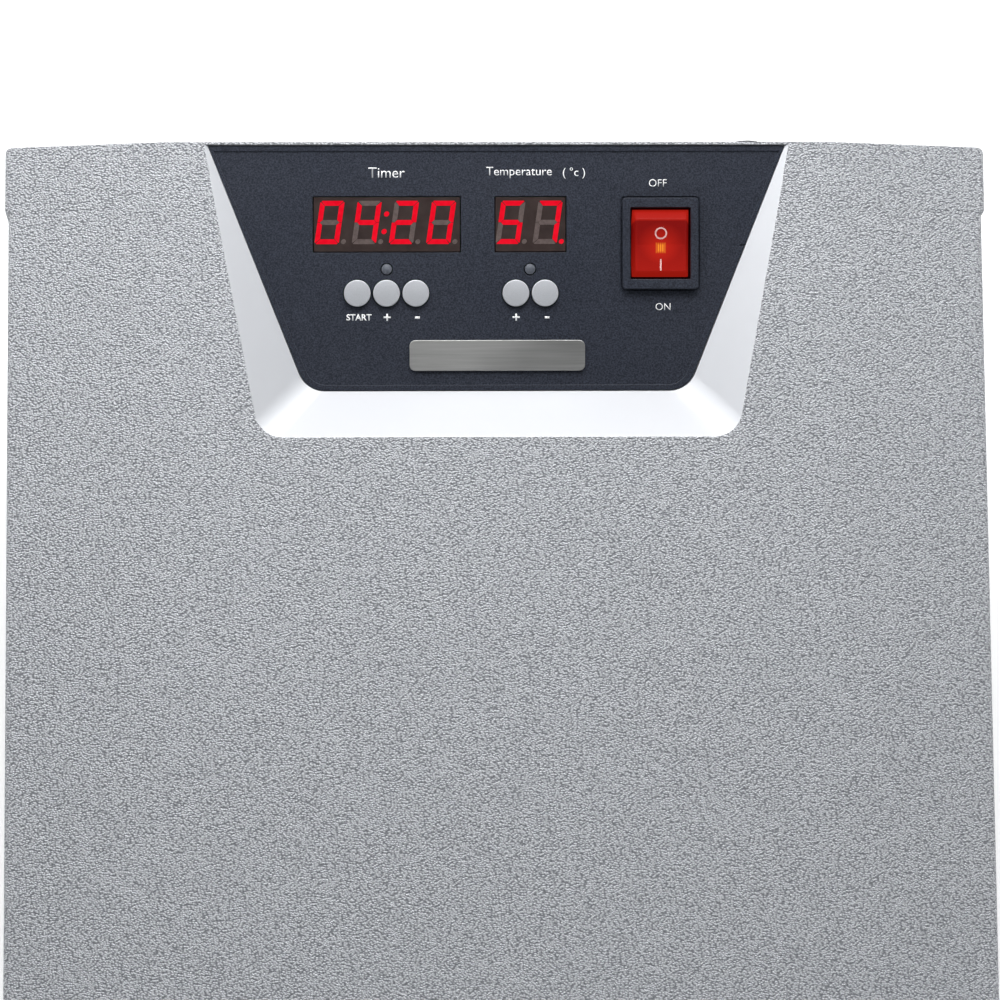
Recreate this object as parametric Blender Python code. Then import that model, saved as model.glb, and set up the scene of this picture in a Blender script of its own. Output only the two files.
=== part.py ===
"""A cabinet dryer: a hot-air drying box with shelves, a rear fan and heater, a hinged front door
and a sunk control panel in its top. Metres, +Z up, the door's side faces -Y.

The origin is on the floor, at the middle of the pad under the base pan. The door stands open.
"""

import math

import bmesh
import bpy
from mathutils import Matrix, Vector

# ---- Driving dimensions -------------------------------------------------------------------
GAP = 0.0003  # between pieces that touch
SKIN = 0.0026  # wall of the moulded covers
BODY_HALF = 0.1668  # half the width of the body
EAR_PROUD = 0.0012  # how far the cover's rear ears stand out past the body
EAR_LENGTH = 0.0228
REAR_Y = 0.225  # the plane of the back
COVER_LENGTH = 0.430  # from the back to the front end of the cover
COVER_FRONT_Y = REAR_Y - COVER_LENGTH

# Top cover: a flat plateau between two shoulders that fall to the sides
PLATEAU_TOP = 0.315  # height of the plateau at the back
PLATEAU_FALL = 0.0075  # its fall over the length of the cover
SHOULDER_EDGE = 0.306  # height of the shoulders' outer edges
RIDGE_REAR = 0.114  # half the width of the plateau at the back
RIDGE_SPREAD = 0.0095  # how far each ridge has moved out ...
RIDGE_LENGTH = 0.239  # ... at this distance from the back
EDGE_CHAMFER = 0.002
SKIRT_BOTTOM = 0.284

# Base, sides and feet
FOOT_HEIGHT = 0.010
PAN_WALL_TOP = 0.030
SIDE_OUTER = BODY_HALF - 0.0006
SIDE_INNER = BODY_HALF - 0.0038
TONGUE_OUTER = BODY_HALF - SKIN - GAP  # the tongues of the side panels run inside the cover
TONGUE_INNER = TONGUE_OUTER - 0.002
FOOT_X, FOOT_FRONT_Y, FOOT_REAR_Y = 0.135, -0.165, 0.185
GRIP_Z, GRIP_HALF_LENGTH, GRIP_HALF_HEIGHT = 0.215, 0.050, 0.014

# Drying chamber
CHAMBER_HALF = 0.148
CHAMBER_FLOOR = 0.0315
CHAMBER_CEILING = 0.266
SHEET = 0.0015  # floor and ceiling sheets
FRAME_FRONT_Y = COVER_FRONT_Y - 0.005
FRAME_BACK_Y = FRAME_FRONT_Y + 0.012
BAFFLE_FRONT_Y = 0.124
BAFFLE_BACK_Y = BAFFLE_FRONT_Y + 0.002
MOUTH_HALF = 0.146
MOUTH_BOTTOM, MOUTH_TOP = 0.036, 0.262

# Tray rails
RAIL_LEVELS = 6
RAIL_FIRST = 0.045  # height of the lowest ledge's top
RAIL_PITCH = 0.036
RAIL_REACH = 0.007  # how far a ledge stands into the chamber
LEDGE_THICK = 0.0025
GUIDE_RISE = 0.011  # from the ledge's top to the guide above it
GUIDE_THICK = 0.002
TRAY_HALF = 0.145
TRAY_FRONT_Y, TRAY_BACK_Y = FRAME_BACK_Y + 0.002, BAFFLE_FRONT_Y - 0.002
TRAY_HEIGHT = 0.009
TRAY_FLOOR = 0.0025
TRAY_RIM = 0.006
TRAYS = {"lower_tray": 0, "middle_tray": 2, "upper_tray": 4}  # name: rail level

# Fan, on an axis along Y
FAN_Z = 0.150
FAN_RADIUS = 0.080
DUCT_RADIUS = 0.084
SHROUD_Y = 0.163
SHAFT_RADIUS = 0.003
HEATER_Y = 0.139
HEATER_RADIUS = 0.062
HEATER_TUBE = 0.0035
PROBE_PLACE = (-0.060, 0.2545)  # across and up
CUTOFF_PLACE = (0.060, 0.2600)
FAN_STEPS = 24  # sides of the fan's round pieces

# Sunk control panel. Its own frame: X across, -Y down the slope to the front, Z out of it
PANEL_TILT = math.radians(9.5)
PANEL_LIP = 0.001  # what is left of the cover behind the panel
PANEL_STEP = 0.0008  # how far below the plateau the panel's back edge lies
PANEL_LENGTH = 0.0841
PANEL_REAR_HALF, PANEL_FRONT_HALF = 0.0988, 0.0654
PANEL_CORNER = 0.0096
BAY_LENGTH = 0.1022  # the outline of the bay on the plateau
BAY_REAR_HALF, BAY_FRONT_HALF = 0.1003, 0.0813
BAY_CORNER = 0.0095
FASCIA_THICK = 0.0024
FASCIA_RIM = 0.0018
FASCIA_SUNK = 0.0004  # the face lies this far below the rim
BOARD_TOP = -0.010  # the control board, below the fascia

DISPLAY_V, DISPLAY_HEIGHT = 0.0271, 0.0186
TIMER_X, TIMER_WIDTH = -0.0376, 0.0500
THERMO_X, THERMO_WIDTH = 0.0115, 0.0240
BUTTON_V, BUTTON_RADIUS, BUTTON_TRAVEL = 0.0506, 0.00455, 0.0010
BUTTONS = {
    "start_button": -0.0478,
    "timer_plus_button": -0.0378,
    "timer_minus_button": -0.0278,
    "temperature_plus_button": 0.0064,
    "temperature_minus_button": 0.0164,
}
INDICATOR_V, INDICATOR_RADIUS = 0.0424, 0.0018
INDICATORS = {"timer_indicator": -0.0377, "temperature_indicator": 0.0113}
ROCKER_X, ROCKER_V = 0.0559, 0.0337
BEZEL_WIDTH, BEZEL_LENGTH = 0.0259, 0.0312
ROCKER_WIDTH, ROCKER_LENGTH = 0.0193, 0.0232
ROCKER_TILT = math.radians(8)  # either way from level
BADGE_V, BADGE_WIDTH, BADGE_HEIGHT = 0.0719, 0.060, 0.0105

# Door, in its own frame: Z up on the hinge axis, X across the closed door, -Y out of it
HINGE_X = -0.158
DOOR_THICK = 0.012
DOOR_BACK_Y = FRAME_FRONT_Y - 0.003
HINGE_Y = DOOR_BACK_Y - DOOR_THICK / 2
DOOR_REST = math.radians(90)  # how far open it stands
DOOR_WIDTH = 0.323  # from the hinge axis to the free edge
DOOR_BOTTOM, DOOR_TOP = 0.027, 0.297
WINDOW_LEFT, WINDOW_RIGHT = 0.026, 0.290
WINDOW_BOTTOM, WINDOW_TOP = 0.056, 0.268
PIN_RADIUS = 0.002
HANDLE_X = 0.306
STRIKE_X = 0.3140  # clear of the seal when the door is shut

# Back
SCREW_X = 0.140
SCREW_HEIGHTS = (0.0215, 0.277)
GLAND_X, GLAND_Z = 0.089, 0.272


# ---- Materials ----------------------------------------------------------------------------
def material(name, colour, roughness, metallic=0.0, alpha=1.0):
    made = bpy.data.materials.new(name)
    made.use_nodes = True
    shader = made.node_tree.nodes["Principled BSDF"]
    shader.inputs["Base Color"].default_value = (*colour, 1.0)
    shader.inputs["Roughness"].default_value = roughness
    shader.inputs["Metallic"].default_value = metallic
    shader.inputs["Alpha"].default_value = alpha
    return made


def make_materials():
    return {
        "silver": material("silver_plastic", (0.56, 0.58, 0.61), 0.45, 0.3),
        "charcoal": material("charcoal_plastic", (0.035, 0.040, 0.050), 0.5),
        "black": material("black_plastic", (0.015, 0.015, 0.017), 0.4),
        "grey": material("grey_liner", (0.24, 0.25, 0.26), 0.5),
        "sheet": material("sheet_steel", (0.62, 0.63, 0.64), 0.35, 0.9),
        "steel": material("bright_steel", (0.70, 0.70, 0.71), 0.25, 1.0),
        "rubber": material("rubber", (0.02, 0.02, 0.02), 0.8),
        "smoked": material("smoked_window", (0.05, 0.05, 0.06), 0.08, 0.0, 0.35),
        "display": material("display_face", (0.03, 0.015, 0.015), 0.2),
        "button": material("button_silver", (0.60, 0.61, 0.63), 0.3, 0.4),
        "lens": material("lens", (0.35, 0.37, 0.39), 0.15),
        "red": material("rocker_red", (0.75, 0.02, 0.01), 0.12),
        "board": material("circuit_board", (0.02, 0.16, 0.06), 0.5),
        "heater": material("heater_tube", (0.16, 0.13, 0.12), 0.45, 0.8),
        "mica": material("mica", (0.55, 0.47, 0.33), 0.6),
        "tray": material("tray_mesh", (0.78, 0.78, 0.76), 0.4),
    }


# ---- Shapes -------------------------------------------------------------------------------
TWIST = 1e-4  # a face twisted by more than this angle is split into flat ones


def loft(loops):
    """A closed body through loops of the same number of points, with both ends capped."""
    shape = bmesh.new()
    rings = [[shape.verts.new(p) for p in loop] for loop in loops]
    for near, far in zip(rings, rings[1:]):
        for i in range(len(near)):
            j = (i + 1) % len(near)
            shape.faces.new((near[i], near[j], far[j], far[i]))
    bmesh.ops.connect_verts_nonplanar(shape, angle_limit=TWIST, faces=shape.faces)
    shape.faces.new(rings[0])
    shape.faces.new(rings[-1])
    bmesh.ops.recalc_face_normals(shape, faces=shape.faces)
    return shape


def body(name, shape):
    """An object made from a bmesh, in the scene."""
    mesh = bpy.data.meshes.new(name)
    shape.to_mesh(mesh)
    shape.free()
    made = bpy.data.objects.new(name, mesh)
    bpy.context.scene.collection.objects.link(made)
    return made


def on_plane(outline, at, plane):
    """The 2D points of an outline as 3D points, at this place along the third axis."""
    if plane == "XY":
        return [Vector((a, b, at)) for a, b in outline]
    if plane == "XZ":
        return [Vector((a, at, b)) for a, b in outline]
    return [Vector((at, a, b)) for a, b in outline]


def prism(name, outline, low, high, plane="XY"):
    return body(name, loft([on_plane(outline, at, plane) for at in (low, high)]))


def block(name, low, high):
    """A box between two corners."""
    outline = [(low[0], low[1]), (high[0], low[1]), (high[0], high[1]), (low[0], high[1])]
    return prism(name, outline, low[2], high[2])


def circle(radius, steps, centre=(0.0, 0.0)):
    turn = 2 * math.pi / steps
    return [
        (centre[0] + radius * math.cos(i * turn), centre[1] + radius * math.sin(i * turn))
        for i in range(steps)
    ]


def turned(name, profile, centre=(0.0, 0.0), plane="XY", steps=24):
    """A round body from (radius, place along the axis) pairs."""
    return body(name, loft([on_plane(circle(r, steps, centre), at, plane) for r, at in profile]))


def rounded(corners, radii, steps=5):
    """A convex outline with its corners turned into arcs. A radius of 0 leaves a corner sharp."""
    outline = []
    count = len(corners)
    for i, radius in enumerate(radii):
        here = Vector(corners[i])
        back = (Vector(corners[i - 1]) - here).normalized()
        ahead = (Vector(corners[(i + 1) % count]) - here).normalized()
        if radius == 0:
            outline.append(tuple(here))
            continue
        half = back.angle(ahead) / 2
        centre = here + (back + ahead).normalized() * radius / math.sin(half)
        first = here + back * radius / math.tan(half) - centre
        last = here + ahead * radius / math.tan(half) - centre
        sweep = first.angle_signed(last)  # clockwise is positive in Blender
        for step in range(steps + 1):
            turn = Matrix.Rotation(-sweep * step / steps, 2)
            outline.append(tuple(centre + turn @ first))
    return outline


def rectangle(low, high, radius=0.0, steps=5):
    corners = [(low[0], low[1]), (high[0], low[1]), (high[0], high[1]), (low[0], high[1])]
    return rounded(corners, [radius] * 4, steps) if radius else corners


def both_sides(profile):
    """A profile of (x, z) points and its mirror image, as (side, points) with the side's sign."""
    return [(sign, [(sign * x, z) for x, z in profile]) for sign in (-1, 1)]


def combine(target, tool, operation):
    """Unites target with tool, or cuts tool out of it, and removes tool."""
    modifier = target.modifiers.new(operation.lower(), "BOOLEAN")
    modifier.operation = operation
    modifier.solver = "EXACT"
    modifier.object = tool
    bpy.context.view_layer.update()
    graph = bpy.context.evaluated_depsgraph_get()
    mesh = bpy.data.meshes.new_from_object(target.evaluated_get(graph))
    target.modifiers.clear()
    target.data = mesh
    bpy.data.objects.remove(tool)
    return target


def join(target, *tools):
    for tool in tools:
        combine(target, tool, "UNION")
    return target


def cut(target, *tools):
    for tool in tools:
        combine(target, tool, "DIFFERENCE")
    return target


def many(name, shapes):
    """Separate bodies in one object, for cutting many holes at once."""
    whole = bmesh.new()
    for made in shapes:
        whole.from_mesh(made.data)
        bpy.data.objects.remove(made)
    return body(name, whole)


def finish(made, name, finish_material, parent=None):
    """Names a finished piece, gives it its material, and hangs it on its parent."""
    made.name = name
    made.data.name = name
    made.data.materials.clear()
    made.data.materials.append(finish_material)
    made.data.shade_smooth()
    made.data.set_sharp_from_angle(angle=math.radians(30))
    if parent:
        made.parent = parent
    return made


def pivot(name, location, rotation=(0.0, 0.0, 0.0)):
    made = bpy.data.objects.new(name, None)
    made.location = location
    made.rotation_euler = rotation
    bpy.context.scene.collection.objects.link(made)
    return made


# ---- The cover's surface and the panel's frame --------------------------------------------
def plateau_height(depth):
    """Height of the plateau at this distance from the back."""
    return PLATEAU_TOP - PLATEAU_FALL * depth / COVER_LENGTH


def ridge_half(depth):
    """Half the width of the plateau at this distance from the back."""
    return RIDGE_REAR + RIDGE_SPREAD * (depth / RIDGE_LENGTH) ** 2


def cover_loop(depth, half, bottom, inset):
    """The cross-section of the cover's outer surface, moved inwards by inset."""
    side = half - inset
    edge = SHOULDER_EDGE - inset
    ridge = ridge_half(max(depth, 0.0))
    top = plateau_height(depth) - inset
    right = [(side, bottom), (side, edge - EDGE_CHAMFER), (side - EDGE_CHAMFER, edge), (ridge, top)]
    left = [(-x, z) for x, z in reversed(right)]
    return on_plane(right + left, REAR_Y - depth, "XZ")


def panel_frame():
    """From the panel's own frame to the world's."""
    back_edge = (0, REAR_Y - PANEL_LIP, plateau_height(PANEL_LIP) - PANEL_STEP)
    return Matrix.Translation(back_edge) @ Matrix.Rotation(PANEL_TILT, 4, "X")


def bay_outline(rear_half, front_half, rear, front, corner):
    """A trapezium that narrows to the front, with its two front corners rounded."""
    corners = [(-rear_half, rear), (-front_half, front), (front_half, front), (rear_half, rear)]
    return rounded(corners, (0, corner, corner, 0), 6)


def panel_outline(grow=0.0, rear=0.0):
    """The outline of the sunk panel in its own frame, grown outwards by grow."""
    return bay_outline(
        PANEL_REAR_HALF + grow, PANEL_FRONT_HALF + grow, rear, -PANEL_LENGTH - grow,
        max(PANEL_CORNER + grow, 0.002),
    )


def on_panel(outline, height):
    """Points of an outline in the panel's frame, as points in the world."""
    frame = panel_frame()
    return [frame @ Vector((x, y, height)) for x, y in outline]


def on_plateau(grow, sink, rear=PANEL_LIP):
    """The outline of the bay where its walls meet the plateau, grown and sunk."""
    outline = bay_outline(
        BAY_REAR_HALF + grow, BAY_FRONT_HALF + grow, -rear, -BAY_LENGTH - grow, BAY_CORNER + grow
    )
    return [Vector((x, REAR_Y + y, plateau_height(-y) - sink)) for x, y in outline]


# ---- Housing ------------------------------------------------------------------------------
def make_top_cover(paint):
    corner = 0.0017
    ear = BODY_HALF + EAR_PROUD
    stations = [(0.0, ear - corner), (corner, ear), (EAR_LENGTH, ear)]
    stations += [(EAR_LENGTH + 0.0006, BODY_HALF)]
    stations += [(d, BODY_HALF) for d in (0.06, 0.11, 0.16, 0.21, 0.26, 0.31, 0.37, COVER_LENGTH)]
    cover = body("cover", loft([cover_loop(d, half, SKIRT_BOTTOM, 0.0) for d, half in stations]))

    depths = (SKIN, 0.06, 0.11, 0.16, 0.21, 0.26, 0.31, 0.37, COVER_LENGTH + 0.01)
    hollow = [cover_loop(d, BODY_HALF, SKIRT_BOTTOM - 0.01, SKIN) for d in depths]
    cut(cover, body("hollow", loft(hollow)))

    # The bay is a tub hung from the plateau, with sloping walls and a ledge for the fascia
    wall = 0.0024
    seat = -FASCIA_THICK - GAP
    rear = -0.0006  # keeps the tub inside the cover's back wall
    tub_low = on_panel(panel_outline(wall, rear), seat - 0.0022)
    tub_high = on_plateau(wall, SKIN / 2, PANEL_LIP - rear)
    join(cover, body("tub", loft([tub_low, tub_high])))

    foot = on_panel(panel_outline(), 0.0)
    brim = on_plateau(0.0, 0.0)
    rise = 0.0005  # the recess runs on past the plateau along its own slopes
    over = [low + (high - low) * (1 + rise / (high.z - low.z)) for low, high in zip(foot, brim)]
    cut(cover, body("recess", loft([on_panel(panel_outline(), seat), foot, over])))
    opening = on_panel(panel_outline(-0.004, -0.008), seat - 0.005)
    above = on_panel(panel_outline(-0.004, -0.008), seat + 0.001)
    cut(cover, body("opening", loft([opening, above])))

    # Bosses for the upper screws of the rear cover
    for x in (-SCREW_X, SCREW_X):
        low = (x - 0.006, REAR_Y - 0.017, SCREW_HEIGHTS[1] - 0.006)
        high = (x + 0.006, REAR_Y - SKIN - 2 * GAP, SKIRT_BOTTOM + 0.012)
        join(cover, block("boss", low, high))
        low = (x - 0.005, REAR_Y - 0.010, SKIRT_BOTTOM + 0.002)
        join(cover, block("web", low, (x + 0.005, REAR_Y - SKIN / 2, SKIRT_BOTTOM + 0.010)))
        cut(cover, screw_hole(x, SCREW_HEIGHTS[1]))
    finish(cover, "top_cover", paint["silver"])


def screw_hole(x, z):
    return turned("hole", [(0.00175, REAR_Y - 0.03), (0.00175, REAR_Y + 0.01)], (x, z), "XZ", 12)


def make_base_pan(paint):
    bevel = 0.003
    right = [
        (BODY_HALF - bevel, FOOT_HEIGHT), (BODY_HALF, FOOT_HEIGHT + bevel),
        (BODY_HALF, PAN_WALL_TOP), (BODY_HALF - SKIN, PAN_WALL_TOP),
        (BODY_HALF - SKIN, FOOT_HEIGHT + SKIN),
    ]
    left = [(-x, z) for x, z in reversed(right)]
    pan = prism("pan", right + left, COVER_FRONT_Y, REAR_Y, "XZ")
    # The pad under the middle keeps the loaded floor from sagging
    join(pan, turned("pad", [(0.025, 0.0), (0.026, FOOT_HEIGHT + 0.001)], steps=32))
    for x in (-SCREW_X, SCREW_X):
        low = (x - 0.006, REAR_Y - 0.017, FOOT_HEIGHT + SKIN / 2)
        high = (x + 0.006, REAR_Y - SKIN - 2 * GAP, SCREW_HEIGHTS[0] + 0.006)
        join(pan, block("boss", low, high))
        cut(pan, screw_hole(x, SCREW_HEIGHTS[0]))
    finish(pan, "base_pan", paint["charcoal"])


def make_feet(paint):
    places = {
        "front_left_foot": (-FOOT_X, FOOT_FRONT_Y), "front_right_foot": (FOOT_X, FOOT_FRONT_Y),
        "rear_left_foot": (-FOOT_X, FOOT_REAR_Y), "rear_right_foot": (FOOT_X, FOOT_REAR_Y),
    }
    profile = [(0.0105, 0.0), (0.0115, 0.001), (0.013, FOOT_HEIGHT - GAP)]
    for name, place in places.items():
        finish(turned(name, profile, place), name, paint["rubber"])


def grip_outline(grow):
    low = (-GRIP_HALF_LENGTH - grow, GRIP_Z - GRIP_HALF_HEIGHT - grow)
    high = (GRIP_HALF_LENGTH + grow, GRIP_Z + GRIP_HALF_HEIGHT + grow)
    return rectangle(low, high, 0.008 + grow, 4)


def make_sides(paint):
    profile = [
        (SIDE_OUTER, PAN_WALL_TOP + GAP), (SIDE_OUTER, SKIRT_BOTTOM - GAP),
        (TONGUE_OUTER, SKIRT_BOTTOM - GAP), (TONGUE_OUTER, 0.294), (TONGUE_INNER, 0.294),
        (TONGUE_INNER, 0.276), (SIDE_INNER, 0.276), (SIDE_INNER, 0.038),
        (TONGUE_INNER, 0.038), (TONGUE_INNER, 0.020), (TONGUE_OUTER, 0.020),
        (TONGUE_OUTER, PAN_WALL_TOP + GAP),
    ]
    cup_bottom = CHAMBER_HALF + 0.0035
    for (sign, points), side in zip(both_sides(profile), ("left", "right")):
        panel = prism("panel", points, COVER_FRONT_Y, REAR_Y, "XZ")
        cut(panel, prism("mouth", grip_outline(0), sign * 0.15, sign * 0.18, "YZ"))
        # The upper tongue stops short of the cover's back wall
        near, far = sorted((sign * (TONGUE_INNER - 0.001), sign * (TONGUE_OUTER + 0.0002)))
        low = (near, REAR_Y - SKIN - GAP, SKIRT_BOTTOM - GAP)
        cut(panel, block("relief", low, (far, REAR_Y + 0.01, 0.30)))
        finish(panel, f"{side}_side_panel", paint["silver"])

        face = SIDE_INNER - GAP
        cup = prism("cup", grip_outline(0.0018), sign * cup_bottom, sign * face, "YZ")
        flange = prism("flange", grip_outline(0.008), sign * (face - 0.0015), sign * face, "YZ")
        join(cup, flange)
        hollow = prism("hollow", grip_outline(0), sign * (cup_bottom + 0.0015), sign * 0.18, "YZ")
        finish(cut(cup, hollow), f"{side}_grip_cup", paint["black"])


def make_front_frame(paint):
    half = TONGUE_INNER - GAP
    outer = rectangle((-half, FOOT_HEIGHT + SKIN + GAP), (half, 0.303), 0.004, 3)
    frame = prism("frame", outer, FRAME_FRONT_Y, FRAME_BACK_Y, "XZ")
    mouth = rectangle((-MOUTH_HALF, MOUTH_BOTTOM), (MOUTH_HALF, MOUTH_TOP), 0.004, 3)
    cut(frame, prism("mouth", mouth, -0.25, -0.15, "XZ"))
    finish(frame, "front_frame", paint["charcoal"])

    outer = rectangle((-0.1550, 0.027), (0.1550, 0.271), 0.010)
    inner = rectangle((-0.1490, 0.033), (0.1490, 0.265), 0.006)
    seal = prism("seal", outer, FRAME_FRONT_Y - 0.0024, FRAME_FRONT_Y - GAP, "XZ")
    finish(cut(seal, prism("middle", inner, -0.25, -0.15, "XZ")), "door_seal", paint["rubber"])

    low = (0.1556, FRAME_FRONT_Y - 0.0012, 0.137)
    finish(block("magnet", low, (0.1612, FRAME_FRONT_Y - GAP, 0.163)), "door_magnet", paint["black"])


def make_rear_cover(paint):
    half = TONGUE_INNER - GAP
    low, high = (-half, FOOT_HEIGHT + SKIN + GAP), (half, SKIRT_BOTTOM - GAP)
    back = prism("back", rectangle(low, high, 0.003, 2), REAR_Y - 0.0028, REAR_Y, "XZ")
    # Intake slots under the fan's circle, each as long as the circle is wide there
    pitch, height, reach = 0.010, 0.0045, 0.072
    slots = []
    for row in range(-6, 7):
        chord = math.sqrt(reach**2 - (row * pitch) ** 2)
        centre = FAN_Z + row * pitch
        outline = rectangle((-chord, centre - height / 2), (chord, centre + height / 2), height / 2.4, 1)
        slots.append(prism("slot", outline, REAR_Y - 0.01, REAR_Y + 0.01, "XZ"))
    cut(back, many("slots", slots))
    holes = [screw_hole(x, z) for x in (-SCREW_X, SCREW_X) for z in SCREW_HEIGHTS]
    cut(back, many("holes", holes))
    bore = [(0.0053, REAR_Y - 0.01), (0.0053, REAR_Y + 0.01)]
    cut(back, turned("gland_hole", bore, (GLAND_X, GLAND_Z), "XZ", 20))
    finish(back, "rear_cover", paint["black"])


def make_screws(paint):
    head = REAR_Y + GAP
    profile = [(0.0014, REAR_Y - 0.014), (0.0014, head), (0.0032, head), (0.0032, head + 0.001)]
    profile += [(0.0022, head + 0.0019)]
    corners = {
        "lower_left_screw": (-SCREW_X, SCREW_HEIGHTS[0]),
        "lower_right_screw": (SCREW_X, SCREW_HEIGHTS[0]),
        "upper_left_screw": (-SCREW_X, SCREW_HEIGHTS[1]),
        "upper_right_screw": (SCREW_X, SCREW_HEIGHTS[1]),
    }
    for name, place in corners.items():
        finish(turned(name, profile, place, "XZ", 12), name, paint["steel"])


def make_gland(paint):
    """The bush that the mains lead would pass through, with its bore open."""
    inside, outside = REAR_Y - 0.0028 - GAP, REAR_Y + GAP
    profile = [
        (0.0066, inside - 0.003), (0.0066, inside), (0.0049, inside), (0.0049, outside),
        (0.0066, outside), (0.0066, outside + 0.002), (0.0056, outside + 0.0088),
    ]
    gland = turned("gland", profile, (GLAND_X, GLAND_Z), "XZ", 20)
    bore = [(0.0032, REAR_Y - 0.02), (0.0032, REAR_Y + 0.02)]
    cut(gland, turned("bore", bore, (GLAND_X, GLAND_Z), "XZ", 16))
    finish(gland, "cable_gland", paint["black"])


# ---- Drying chamber -----------------------------------------------------------------------
def ledge_top(level):
    return RAIL_FIRST + level * RAIL_PITCH


def make_rails(paint):
    """Each side liner is one comb-shaped profile: a ledge and a guide above it at every level."""
    wall, back = CHAMBER_HALF, CHAMBER_HALF + 0.002
    tip = CHAMBER_HALF - RAIL_REACH
    low, high = CHAMBER_FLOOR + GAP, CHAMBER_CEILING - GAP
    profile = [(back, low), (wall, low)]
    for level in range(RAIL_LEVELS):
        top = ledge_top(level)
        guide = top + GUIDE_RISE
        profile += [(wall, top - LEDGE_THICK), (tip, top - LEDGE_THICK), (tip, top), (wall, top)]
        profile += [(wall, guide), (tip, guide), (tip, guide + GUIDE_THICK), (wall, guide + GUIDE_THICK)]
    profile += [(wall, high), (back, high)]
    for (_, points), side in zip(both_sides(profile), ("left", "right")):
        rails = prism("rails", points, FRAME_BACK_Y + GAP, BAFFLE_FRONT_Y - GAP, "XZ")
        finish(rails, f"{side}_tray_rails", paint["grey"])


def make_chamber_sheets(paint):
    half = CHAMBER_HALF + 0.0017
    front, back = FRAME_BACK_Y + GAP, BAFFLE_FRONT_Y - GAP
    floor = block("floor", (-half, front, CHAMBER_FLOOR - SHEET), (half, back, CHAMBER_FLOOR))
    finish(floor, "chamber_floor", paint["sheet"])
    top = CHAMBER_CEILING + SHEET
    ceiling = block("ceiling", (-half, front, CHAMBER_CEILING), (half, back, top))
    finish(ceiling, "chamber_ceiling", paint["sheet"])


def make_baffle(paint):
    half = CHAMBER_HALF + 0.0017
    low, high = (-half, BAFFLE_FRONT_Y, 0.028), (half, BAFFLE_BACK_Y, 0.280)
    baffle = block("baffle", low, high)
    columns, rows = 4, 9
    slots = []
    for column in range(columns):
        x = (column - (columns - 1) / 2) * 0.064
        for row in range(rows):
            z = 0.062 + row * 0.022
            slots.append(block("slot", (x - 0.027, 0.11, z - 0.004), (x + 0.027, 0.14, z + 0.004)))
    cut(baffle, many("slots", slots))
    cut(baffle, turned("probe_hole", [(0.0029, 0.11), (0.0029, 0.14)], PROBE_PLACE, "XZ", 12))
    finish(baffle, "air_baffle", paint["sheet"])


def make_trays(paint):
    corner = 0.008
    for name, level in TRAYS.items():
        bottom = ledge_top(level) + GAP
        outer = rectangle((-TRAY_HALF, TRAY_FRONT_Y), (TRAY_HALF, TRAY_BACK_Y), corner, 4)
        tray = prism("tray", outer, bottom, bottom + TRAY_HEIGHT)
        inner_low = (-TRAY_HALF + TRAY_RIM, TRAY_FRONT_Y + TRAY_RIM)
        inner_high = (TRAY_HALF - TRAY_RIM, TRAY_BACK_Y - TRAY_RIM)
        inner = rectangle(inner_low, inner_high, corner - 0.003, 4)
        cut(tray, prism("well", inner, bottom + TRAY_FLOOR, bottom + 0.02))
        middle = (TRAY_FRONT_Y + TRAY_BACK_Y) / 2
        slots = []
        for column in range(12):
            x = (column - 5.5) * 0.0228
            for near, far in ((TRAY_FRONT_Y + 0.011, middle - 0.004), (middle + 0.004, TRAY_BACK_Y - 0.011)):
                low, high = (x - 0.0088, near, bottom - 0.01), (x + 0.0088, far, bottom + 0.01)
                slots.append(block("slot", low, high))
        cut(tray, many("slots", slots))
        pull = rectangle((-0.040, TRAY_FRONT_Y - 0.008), (0.040, TRAY_FRONT_Y + 0.001), 0.004, 3)
        join(tray, prism("pull", pull, bottom + 0.003, bottom + 0.0065))
        finish(tray, name, paint["tray"])


# ---- Air and heat -------------------------------------------------------------------------
def make_shroud(paint):
    half = 0.088
    low, high = (-half, SHROUD_Y, FAN_Z - half), (half, SHROUD_Y + 0.0024, FAN_Z + half)
    shroud = block("shroud", low, high)
    duct = [(DUCT_RADIUS + 0.0022, SHROUD_Y - 0.013), (DUCT_RADIUS + 0.0022, SHROUD_Y + 0.0024)]
    join(shroud, turned("duct", duct, (0, FAN_Z), "XZ", FAN_STEPS))
    for x in (-0.081, 0.081):
        for z in (FAN_Z - 0.081, FAN_Z + 0.081):
            post = [(0.004, BAFFLE_BACK_Y + GAP), (0.004, SHROUD_Y + 0.001)]
            join(shroud, turned("post", post, (x, z), "XZ", 12))
    throat = [(DUCT_RADIUS, SHROUD_Y - 0.02), (DUCT_RADIUS, SHROUD_Y + 0.02)]
    cut(shroud, turned("throat", throat, (0, FAN_Z), "XZ", FAN_STEPS))
    finish(shroud, "fan_shroud", paint["black"])


def blade_loop(radius, pitch, chord, middle, angle):
    """One section of a blade: a thin slanted strip across the fan's axis, at this radius."""
    half, thick = chord / 2, 0.0008
    along = Vector((math.cos(pitch) * half, math.sin(pitch) * half))
    across = Vector((-math.sin(pitch) * thick, math.cos(pitch) * thick))
    turn = Matrix.Rotation(angle, 4, "Y")
    loop = []
    for a, b in ((-1, -1), (1, -1), (1, 1), (-1, 1)):
        x, y = a * along + b * across
        loop.append(turn @ Vector((x, y, radius)) + Vector((0, middle, FAN_Z)))
    return loop


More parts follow.
